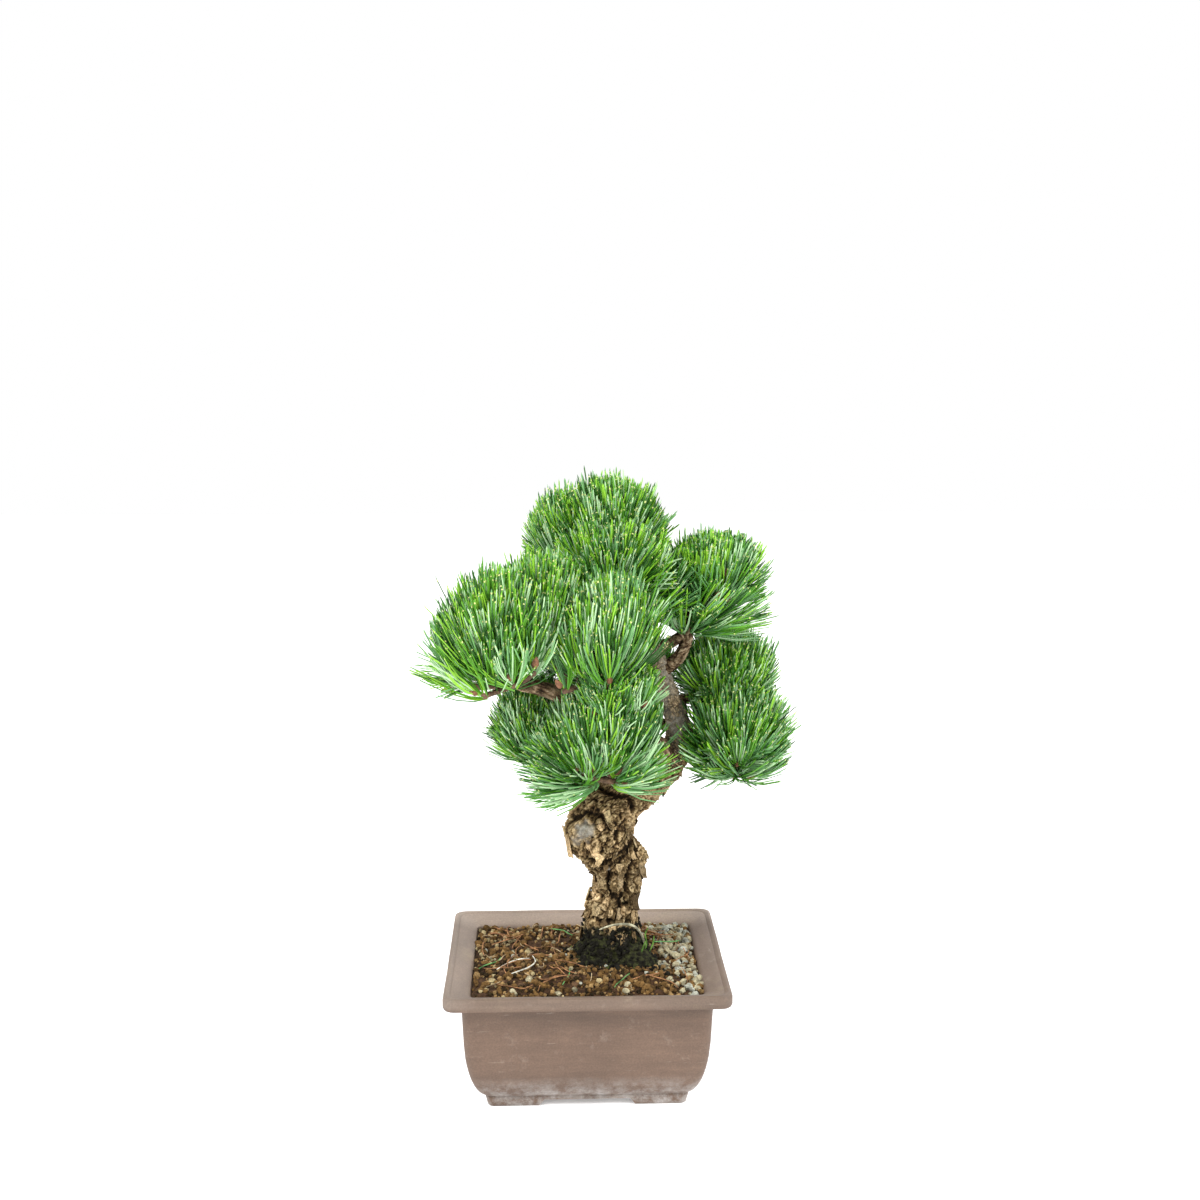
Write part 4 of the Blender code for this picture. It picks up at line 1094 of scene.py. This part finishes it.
def breadths(points):
    """As reaches, but with fuller lower sides, where needles spread level."""
    away = points[:, None, :] - CENTRES[None]
    below = away[:, :, 2] < 0.0
    level = np.linalg.norm(away[:, :, :2] / RISING[None, :, :2], axis=2)
    drop = np.abs(away[:, :, 2]) / np.where(below, FALLING[None, :, 2], RISING[None, :, 2])
    power = np.where(below, LOWER_POWER, 2.0)
    return (level ** power + drop ** power) ** (1.0 / power)


def room(start, way, number, limit=120.0):
    """How far one can go from a point before the mass's own space ends."""
    lengths = np.arange(2.0, limit, 1.0)
    points = np.array(start) + lengths[:, None] * np.array(way)
    far = reaches(points)
    own = far[:, number]
    others = np.delete(far, number, axis=1).min(axis=1)
    outside = (own > 1.0) | (others < own - CELL_MARGIN)
    return float(lengths[np.argmax(outside)]) if outside.any() else limit


def stem_of(limbs, name):
    """A mass's stem, which goes straight on from its limb's tip and then to the dome's middle."""
    carrier = limbs[MASSES[name][0]]
    middle = Vector(MASSES[name][1])
    way = carrier.tip_direction()
    start = carrier.middles[-1] + way * GAP
    towards = middle - start
    length = max(STEM_SHARE * towards.length, SHORTEST_STEM)
    onward = way * STEM_STIFFNESS + towards.normalized()
    knee = start + onward.normalized() * SHORTEST_STEM / 2
    end = knee + (middle - knee).normalized() * (length - SHORTEST_STEM / 2)
    thick = carrier.radii[-1]
    return Limb([start, start + way * 2.0, knee, end], [thick, thick, thick * 0.8, STEM_TIP_RADIUS])


def shoot_way(number, base, onward):
    """The way a shoot's needles point: away from the mass's lower middle, and up."""
    heart = Vector(CENTRES[number]) - UP * HEART_DROP * FALLING[number][2]
    radial = (base - heart).normalized()
    lift = OPEN_LIFT if list(MASSES)[number] in OPEN_BELOW else SHOOT_LIFT
    depth = float((CENTRES[number][2] - base.z) / FALLING[number][2])
    lift *= min(max(1.0 - 1.3 * depth, 0.0), 1.0)
    return (radial + SHOOT_TURN * onward + lift * UP).normalized()


def grow(limbs):
    """All twigs as (start, end, thick, thin) and all shoots as (mass, base, way)."""
    twigs = []
    shoots = []
    for number, name in enumerate(MASSES):
        dice = random.Random(SEED * 100 + number)
        stem = stem_of(limbs, name)
        axis = (Vector(MASSES[name][1]) - stem.middles[0]).normalized()
        axis = (axis + 0.2 * UP).normalized()
        twigs += zip(stem.middles, stem.middles[1:], stem.radii, stem.radii[1:])
        for index, way in enumerate(fan(axis, TWIGS, TWIG_FAN, dice.uniform(0.0, math.tau))):
            start = stem.at(1.0 - TWIG_ZONE * index / TWIGS)
            reach = max(room(start, way, number) - SPRAY_DEPTH, SHORTEST_TWIG)
            root = start + way * reach
            twigs.append((start, root, 1.7, 1.4))
            for onward in fan((way + 0.3 * UP).normalized(), SHOOTS, SHOOT_FAN, dice.uniform(0.0, math.tau)):
                depth = SHOOT_MARGIN + SHOOT_RISE * max(onward.z, 0.0)
                more = min(max(room(root, onward, number) - depth, 2.5), LONGEST_SHOOT)
                base = root + onward * more
                twigs.append((root, base, 1.4, 1.9))
                shoots.append((number, base, shoot_way(number, base, onward), 0.0, 1.0))
        for index in range(0 if name in OPEN_BELOW else LOW_SHOOTS):
            angle = GOLDEN_ANGLE * index + dice.uniform(-0.4, 0.4)
            level = Vector((math.cos(angle), math.sin(angle), dice.uniform(-0.1, 0.3))).normalized()
            root = stem.at(dice.uniform(0.05, 0.4))
            more = max(room(root, level, number) - LOW_MARGIN, 3.0) * dice.uniform(0.5, 1.0)
            base = root + level * more
            twigs.append((root, base, 1.6, 1.8))
            shoots.append((number, base, shoot_way(number, base, level), 0.05, LOW_RISE))
    for name, base, way, slack, rise in LOOSE_SHOOTS:
        base, way = Vector(base), Vector(way).normalized()
        twigs.append((limbs[MASSES[name][0]].at(0.97), base, 1.9, 1.9))
        shoots.append((list(MASSES).index(name), base, way, slack, rise))
    return twigs, shoots


class Needles:
    """All needles as arrays: base, first direction, the way they bend to, bend, length and bundle."""

    def __init__(self, rows):
        columns = list(zip(*rows))
        self.bases, self.ways, self.targets = (np.array([tuple(v) for v in part]) for part in columns[:3])
        self.bends, self.lengths, self.limits = (np.array(part) for part in columns[3:6])
        self.bundles, self.suns, self.masses = (np.array(part) for part in columns[6:])

    def keep(self, chosen):
        """Leaves only the chosen needles."""
        for name, part in vars(self).items():
            setattr(self, name, part[chosen])

    def at(self, t, shares=1.0):
        """The points at a share of the needles' length."""
        side = self.targets - self.ways * np.sum(self.targets * self.ways, axis=1)[:, None]
        reach = (self.lengths * shares)[:, None]
        bend = 0.5 * self.bends[:, None] * t * t
        return self.bases + reach * (self.ways * t + side * bend)


def needle_rows(shoots, dice):
    """Bundles of needles round the end of each shoot, steep at its tip and spreading below."""
    rows = []
    bundle_number = 0
    open_below = [list(MASSES).index(name) for name in OPEN_BELOW]
    for mass, base, way, slack, rise in shoots:
        flow = turned(UP, math.pi / 2, dice.uniform(0.0, math.tau)) * FLOW
        inner = np.linalg.norm((np.array(base) - CENTRES[mass])[:2] / RISING[mass][:2]) < HEART_SHARE
        spin = dice.uniform(0.0, math.tau)
        curl = dice.uniform(1.00, 1.60)
        size = dice.uniform(0.90, 1.10)
        edge = dice.uniform(-EDGE_SPREAD, EDGE_SPREAD)
        height = (base.z - CENTRES[mass][2]) / RISING[mass][2]
        # Painted light: higher shoots count as sunnier, and their colours are dealt by it.
        sun = 0.42 + 0.38 * height + (base.z - 290.0) / 500.0 + dice.uniform(-0.30, 0.30)
        for index in range(BUNDLES):
            share = (index + 0.5) / BUNDLES
            tilt = math.radians(5.0 + 55.0 * share ** 1.1) + dice.uniform(-0.07, 0.07)
            length = NEEDLE_LENGTH * size * dice.uniform(0.84, 1.08)
            limit = 1.0 + slack + edge + dice.uniform(-EDGE_SPREAD, EDGE_SPREAD) * 0.7 + 0.10 * share ** 2
            if dice.random() < STRAY_SHARE:
                tilt += dice.uniform(0.2, 0.6)
                limit += STRAY_REACH
            limit = min(limit, LONGEST_REACH + slack)
            bundle = turned(way, tilt, spin + index * GOLDEN_ANGLE)
            root = base + way * (BUNDLE_ZONE * (0.55 - share)) + bundle * 0.9
            sway = turned(way, math.pi / 2, dice.uniform(0.0, math.tau)) * SWAY
            turn = dice.uniform(0.0, math.tau)
            for leaf in range(NEEDLES_PER_BUNDLE):
                lean = BUNDLE_SPREAD * dice.uniform(0.4, 1.4)
                needle = turned(bundle, lean, turn + leaf * math.tau / NEEDLES_PER_BUNDLE)
                if inner and mass in open_below and needle.z < LOWEST_INSIDE:
                    continue
                target = (way * 0.5 + UP * 0.9 * rise + flow + sway + needle * 0.2).normalized()
                bend = curl * dice.uniform(0.8, 1.2)
                reach = length * dice.uniform(0.93, 1.04)
                ragged = limit + dice.uniform(-0.05, 0.05)
                rows.append((root, needle, target, bend, reach, ragged, bundle_number, sun, mass))
            bundle_number += 1
    return rows


def fit_needles(needles, limbs):
    """Shortens needles to the crown's spaces and drops those that would cross a limb."""
    kept = np.zeros(len(needles.lengths), bool)
    shares = np.ones(len(needles.lengths))
    rows = np.arange(len(shares))
    for share in (1.0, 0.93, 0.86, 0.79, 0.72, 0.65, 0.58, 0.50):
        far = breadths(needles.at(1.0, share))
        own = far[rows, needles.masses]
        inside = (own < needles.limits) | ((far.min(axis=1) < DEEP_INSIDE) & (own < FARTHEST))
        shares[inside & ~kept] = share
        kept |= inside
    needles.lengths *= shares
    for t in (0.35, 0.65, 1.0):
        points = needles.at(t)
        for limb in limbs.values():
            kept &= limb.clearances(points) > NEEDLE_CLEARANCE
    needles.keep(kept)


def needle_mesh(needles, widths, places, thicknesses):
    """Points and triangles of bent, closed, three-sided needles between two places of their length."""
    count = len(widths)
    up = np.where(np.abs(needles.ways[:, 2:3]) < 0.9, [[0.0, 0.0, 1.0]], [[1.0, 0.0, 0.0]])
    side = np.cross(needles.ways, up)
    side /= np.linalg.norm(side, axis=1)[:, None]
    other = np.cross(side, needles.ways)
    spins = needles.bundles * 2.4
    rings = []
    for place, thickness in zip(places, thicknesses):
        middle = needles.at(place)
        for corner in range(3):
            angle = (spins + math.tau * corner / 3.0)[:, None]
            away = side * np.cos(angle) + other * np.sin(angle)
            rings.append(middle + away * (0.5 * thickness * widths)[:, None])
    rings.append(needles.at(1.0))
    points = np.stack(rings, axis=1).reshape(-1, 3)
    stride = 3 * len(places) + 1
    faces = [(0, 2, 1)]
    for row in range(len(places) - 1):
        for corner in range(3):
            a, b = 3 * row + corner, 3 * row + (corner + 1) % 3
            faces += [(a, b, b + 3), (a, b + 3, a + 3)]
    last = stride - 4
    for corner in range(3):
        faces.append((last + corner, last + (corner + 1) % 3, stride - 1))
    starts = np.arange(count) * stride
    triangles = (np.array(faces)[None] + starts[:, None, None]).reshape(-1, 3)
    return points, triangles


def part_of(needles, chosen):
    """A part of the needles."""
    part = Needles.__new__(Needles)
    vars(part).update(vars(needles))
    part.keep(chosen)
    return part


def deal_colours(needles, draw):
    """A colour for every needle, dealt as painted light: more yellow on sunny shoots, bluer on shaded ones, mostly one
    a bundle.
    """
    sun = np.clip(needles.suns, 0.0, 1.0)[:, None]
    shares = np.array(SHADY_SHARES) * (1.0 - sun) + np.array(SUNNY_SHARES) * sun
    steps = np.cumsum(shares, axis=1)
    of_bundle = draw.random(int(needles.bundles.max()) + 1)[needles.bundles.astype(int)]
    own = draw.random(len(of_bundle))
    luck = np.where(draw.random(len(own)) < 0.65, of_bundle, own)
    return np.minimum((luck[:, None] > steps).sum(axis=1), len(NEEDLE_COLOURS) - 1)


def build_needles(limbs, shoots):
    """All needles, in pieces of one colour each, and their yellow tips."""
    needles = Needles(needle_rows(shoots, random.Random(SEED)))
    fit_needles(needles, limbs)
    draw = np.random.default_rng(SEED)
    count = len(needles.lengths)
    widths = NEEDLE_WIDTH * draw.uniform(0.82, 1.15, count)
    colours = deal_colours(needles, draw)
    pieces = []
    for index, (name, colour) in enumerate(NEEDLE_COLOURS.items()):
        chosen = np.flatnonzero(colours == index)
        material = needle_material(name, colour)
        halves = math.ceil(len(chosen) / NEEDLES_IN_PIECE)
        for half, own in enumerate(np.array_split(chosen, halves)):
            mesh = needle_mesh(part_of(needles, own), widths[own], NEEDLE_PLACES, NEEDLE_THICKNESSES)
            pieces.append(mesh_object(f"{name}_{half + 1}" if halves > 1 else name, *mesh, material))
    own = np.flatnonzero(draw.random(count) < TIP_SHARE)
    mesh = needle_mesh(part_of(needles, own), widths[own], (1.0 - TIP_LENGTH,), (1.12,))
    pieces.append(mesh_object("needle_tips", *mesh, needle_material("needle_tips", TIP_COLOUR)))
    print("needles", count, "of them in colours", np.bincount(colours))
    return pieces


def build_twigs(twigs, material):
    """All twigs, knotty and rough, joined."""
    parts = []
    for number, (first, last, thick, thin) in enumerate(twigs):
        line = []
        radii = []
        for step in range(6):
            t = step / 5
            point = first.lerp(last, t)
            line.append(point + noise.noise_vector(point / 9.0) * 0.8 * math.sin(math.pi * t))
            radii.append((thick + (thin - thick) * t) * (1.0 + 0.22 * noise.noise(point / 2.0 + UP * number)))
        corners, _, faces = tube(Limb(line, radii), 7)
        parts.append((corners, faces))
    return mesh_object("twigs", *joined(parts), material, smooth=True)


def build_buds(shoots, material):
    """A scaly bud at the end of every shoot."""
    parts = []
    for number, (_, base, way, _, _) in enumerate(shoots):
        size = 0.8 + 0.4 * math.sin(number * 1.7) ** 2
        start = base + way * BUNDLE_ZONE * 0.4
        line = [start + way * place * size for place in (0.0, 1.5, 3.0, 5.0, 6.5)]
        corners, _, faces = tube(Limb(line, [size * radius for radius in (1.2, 1.9, 1.8, 1.1, 0.3)]), 6)
        parts.append((corners, faces))
    return mesh_object("buds", *joined(parts), material, smooth=True)


class Ground:
    """The packed soil's surface."""

    def __init__(self, thing):
        mesh = thing.data
        points = [corner.co for corner in mesh.vertices]
        self.tree = BVHTree.FromPolygons(points, [list(face.vertices) for face in mesh.polygons])

    def height(self, x, y):
        """The surface's height at a place of the pot's frame, or None off the soil."""
        start = (Vector((x, y, 2.0 * POT_HEIGHT)) + POT_MIDDLE) * MM
        hit = self.tree.ray_cast(start, -UP)[0]
        return None if hit is None else hit.z / MM - POT_MIDDLE.z


def ball(subdivisions):
    """Points and triangles of a round lump of half size one."""
    bm = bmesh.new()
    bmesh.ops.create_icosphere(bm, subdivisions=subdivisions, radius=1.0)
    points = np.array([tuple(corner.co) for corner in bm.verts])
    faces = np.array([[corner.index for corner in face.verts] for face in bm.faces])
    bm.free()
    return points, faces


def lump(shape, size, flatness, dice):
    """One angular lump, turned any way and pressed a little flat."""
    points, faces = shape
    jitter = np.array([dice.uniform(0.68, 1.12) for _ in points])[:, None]
    stretch = np.array([dice.uniform(0.7, 1.2), dice.uniform(0.7, 1.2), flatness])
    tilt = 0.35 if flatness < 0.5 else 1.2
    turn = Matrix.Rotation(dice.uniform(0.0, math.tau), 3, "Z")
    turn = turn @ Matrix.Rotation(dice.uniform(-tilt, tilt), 3, "X") @ Matrix.Rotation(dice.uniform(-tilt, tilt), 3, "Y")
    return (points * jitter * stretch * size) @ np.array(turn).T, faces


def scatter(name, row, ground, material, dice, shape):
    """Loose crumbs of one kind on the soil, joined into one piece."""
    count, low, high, flatness, _, chance = row
    half_x = POT_LENGTH / 2 - RIM_WIDTH - 1.0
    half_y = POT_DEPTH / 2 - RIM_WIDTH - 1.0
    parts = []
    while len(parts) < count:
        x, y = dice.uniform(-half_x, half_x), dice.uniform(-half_y, half_y)
        size = low + (high - low) * dice.random() ** 1.7
        height = ground.height(x, y)
        if height is None or dice.random() > chance(x, y):
            continue
        corners, faces = lump(shape, size, flatness, dice)
        parts.append((corners + np.array((x, y, height + size * flatness * dice.uniform(0.1, 0.75))), faces))
    return mesh_object(name, *joined(parts), material)


def mossy(x, y):
    """Moss round the trunk's foot and along the ridge that runs to the front right."""
    place = Vector((x, y))
    across = (x - MOSS_MIDDLE.x) / MOSS_HALF[0]
    over = (y - MOSS_MIDDLE.y) / MOSS_HALF[1]
    ragged = 0.9 * noise.noise(Vector((x, y, 0.0)) / 7.0) + 0.5 * noise.noise(Vector((x, y, 0.0)) / 2.5)
    if across * across + over * over < 1.0 + ragged:
        return 1.0
    for start, end in zip(MOSS_RIDGE, MOSS_RIDGE[1:]):
        first, last = Vector(start), Vector(end)
        t = min(max((place - first).dot(last - first) / (last - first).length_squared, 0.0), 1.0)
        if (place - first.lerp(last, t)).length < RIDGE_HALF * (1.0 + ragged):
            return 1.0
    return 0.0


def thin_tube(points, radius, sides=5):
    """A closed thin tube through points, thinner at both ends."""
    line = catmull_rom(points, 4)
    last = len(line) - 1
    radii = [radius * (0.45 + 0.55 * math.sin(math.pi * index / last) ** 0.4) for index in range(len(line))]
    corners, _, faces = tube(Limb(line, radii), sides)
    return corners, faces


def lying(places, ground, lift):
    """Points just above the soil over a line of places."""
    return [(x, y, (ground.height(x, y) or GROUND) + lift) for x, y in places]


def build_straws(name, row, ground, dice):
    """Dead needles and straws that lie about on the soil."""
    count, length, thickness, bend, colour = row
    half_x = POT_LENGTH / 2 - RIM_WIDTH - 3.0
    half_y = POT_DEPTH / 2 - RIM_WIDTH - 3.0
    parts = []
    while len(parts) < count:
        x, y = dice.uniform(-half_x, half_x), dice.uniform(-half_y, half_y)
        angle = dice.uniform(0.0, math.tau)
        curve = dice.uniform(-bend, bend) / length
        places = []
        for step in range(6):
            away = length * dice.uniform(0.95, 1.05) * (step / 5 - 0.5)
            turn = angle + curve * away * 2.0
            places.append((x + away * math.cos(turn), y + away * math.sin(turn)))
        if any(abs(px) > half_x or abs(py) > half_y or mossy(px, py) for px, py in places):
            continue
        lift = dice.uniform(1.8, 3.6)
        parts.append(thin_tube(lying(places, ground, lift), thickness * 0.5 * dice.uniform(0.8, 1.2)))
    return mesh_object(name, *joined(parts), crumb_material(name, colour))


def add_camera():
    """The photograph's camera."""
    data = bpy.data.cameras.new("camera")
    camera = bpy.data.objects.new("camera", data)
    bpy.context.scene.collection.objects.link(camera)
    data.sensor_width = SENSOR
    data.lens = FOCAL_PIXELS / IMAGE_SIZE * SENSOR
    data.clip_start = 0.01
    level = math.cos(CAMERA_ELEVATION)
    back = Vector((
        math.sin(CAMERA_AZIMUTH) * level,
        -math.cos(CAMERA_AZIMUTH) * level,
        math.sin(CAMERA_ELEVATION),
    ))
    camera.location = (CAMERA_TARGET + back * CAMERA_DISTANCE + POT_MIDDLE) * MM
    camera.rotation_euler = back.to_track_quat("Z", "Y").to_euler()
    bpy.context.scene.camera = camera


def add_area(name, place, size, power):
    """A soft square light that looks at the plant."""
    data = bpy.data.lights.new(name, "AREA")
    data.size = size
    data.energy = power
    light = bpy.data.objects.new(name, data)
    bpy.context.scene.collection.objects.link(light)
    light.location = place
    aim = Vector((0.0, 0.0, 0.2)) - Vector(place)
    light.rotation_euler = aim.to_track_quat("-Z", "Y").to_euler()


def add_studio():
    """Soft lights, a bright surround and a pale floor."""
    world = bpy.data.worlds.new("studio")
    bpy.context.scene.world = world
    bpy.context.scene.view_settings.view_transform = "Standard"
    world.use_nodes = True
    background = world.node_tree.nodes["Background"]
    background.inputs["Color"].default_value = (1.0, 1.0, 1.0, 1.0)
    background.inputs["Strength"].default_value = 1.0
    for row in LIGHTS:
        add_area(*row)
    half = FLOOR_HALF
    points = [(-half, -half, 0.0), (half, -half, 0.0), (half, half, 0.0), (-half, half, 0.0)]
    mesh_object("floor", points, [(0, 1, 2), (0, 2, 3)], floor_material())


def settle(piece, slot, *nodes):
    """Joins a piece to the body and hides the nodes it stands for; the slot is not used."""
    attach(piece, BODY)
    if nodes:
        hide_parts(*nodes)


def build_wood(limbs):
    """Bark on the trunk and the boughs, loose plates, and the thin root at the foot."""
    old = bark_material("bark", (0.050, 0.034, 0.017), (0.200, 0.160, 0.098), (0.470, 0.415, 0.300), 60.0)
    young = bark_material("young_bark", (0.050, 0.034, 0.024), (0.165, 0.130, 0.095), (0.370, 0.330, 0.280), 90.0)
    trunk, points, outward, moss = bark_skin(
        "trunk_bark", limbs["trunk"], TRUNK_SIDES, TRUNK_RELIEF, TRUNK_PLATE, old, old=True
    )
    settle(trunk, "bark", "trunk")
    settle(build_plates(points, outward, old), "bark")
    settle(build_tufts(points, outward, moss), "soil")
    root = mesh_object("thin_root", *thin_tube(AIR_ROOT, AIR_ROOT_RADIUS, 10), crumb_material("thin_root", ROOT_COLOUR))
    settle(root, "bark")
    branch = bough_limb(limbs, *SHORT_BRANCH)
    settle(bark_skin("short_branch", branch, 16, 0.5, BOUGH_PLATE, young)[0], "young_bark")
    for name in BOUGHS:
        skin = bark_skin(name + "_bark", limbs[name], BOUGH_SIDES, BOUGH_RELIEF, BOUGH_PLATE, young)[0]
        settle(skin, "young_bark", name)


def build_tufts(points, outward, moss):
    """Dark tufts of moss on the trunk's flare."""
    dice = random.Random(SEED)
    mossy_points = np.flatnonzero(moss[:-2] > 0.35)
    shape = ball(1)
    parts = []
    for _ in range(TUFTS):
        index = dice.choice(mossy_points)
        size = dice.uniform(0.8, 2.2)
        corners, faces = lump(shape, size, 0.8, dice)
        parts.append((corners + points[index] + outward[index] * size * dice.uniform(-0.1, 0.5), faces))
    name = "foot_moss"
    return mesh_object(name, *joined(parts), crumb_material(name, MOSSES["dark_moss"][3]))


def build_litter(ground):
    """Everything that lies on the soil: crumbs, moss, straws and curled fibres."""
    dice = random.Random(SEED)
    angular, rounder = ball(1), ball(2)
    for name, row in CRUMBS.items():
        shape = rounder if "pumice" in name else angular
        settle(scatter(name, row, ground, crumb_material(name, row[4]), dice, shape), "soil")
    for name, (count, low, high, colour) in MOSSES.items():
        row = (count, low, high, 0.8, colour, mossy)
        settle(scatter(name, row, ground, crumb_material(name, colour), dice, angular), "soil")
    for name, row in STRAWS.items():
        settle(build_straws(name, row, ground, dice), "soil")
    curls = [thin_tube(lying(line, ground, 2.4), CURL_RADIUS, 6) for line in WHITE_CURLS]
    sprigs = [thin_tube(line, SPRIG_RADIUS) for line in SPRIGS]
    settle(mesh_object("moss_sprigs", *joined(sprigs), crumb_material("moss_sprigs", SPRIG_COLOUR)), "soil")
    settle(mesh_object("white_curls", *joined(curls), crumb_material("white_curls", CURL_COLOUR)), "soil")


noise.seed_set(SEED)
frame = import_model()
add_camera()
add_studio()
settle(build_pot(clay_material()), "clay", "pot")
soil = frame["nodes"]["soil"]
soil.data.materials.clear()
soil.data.materials.append(soil_material())
build_litter(Ground(soil))

limbs = {"trunk": trunk_limb(TRUNK_STEPS)}
for name, row in BOUGHS.items():
    limbs[name] = bough_limb(limbs, *row)
build_wood(limbs)
twigs, shoots = grow(limbs)
settle(build_twigs(twigs, twig_material("twigs", TWIG_COLOUR)), "young_bark")
settle(build_buds(shoots, twig_material("buds", BUD_COLOUR)), "young_bark")
pieces = build_needles(limbs, shoots)
settle(pieces[0], "needles", *MASSES)
for piece in pieces[1:]:
    settle(piece, "needles")
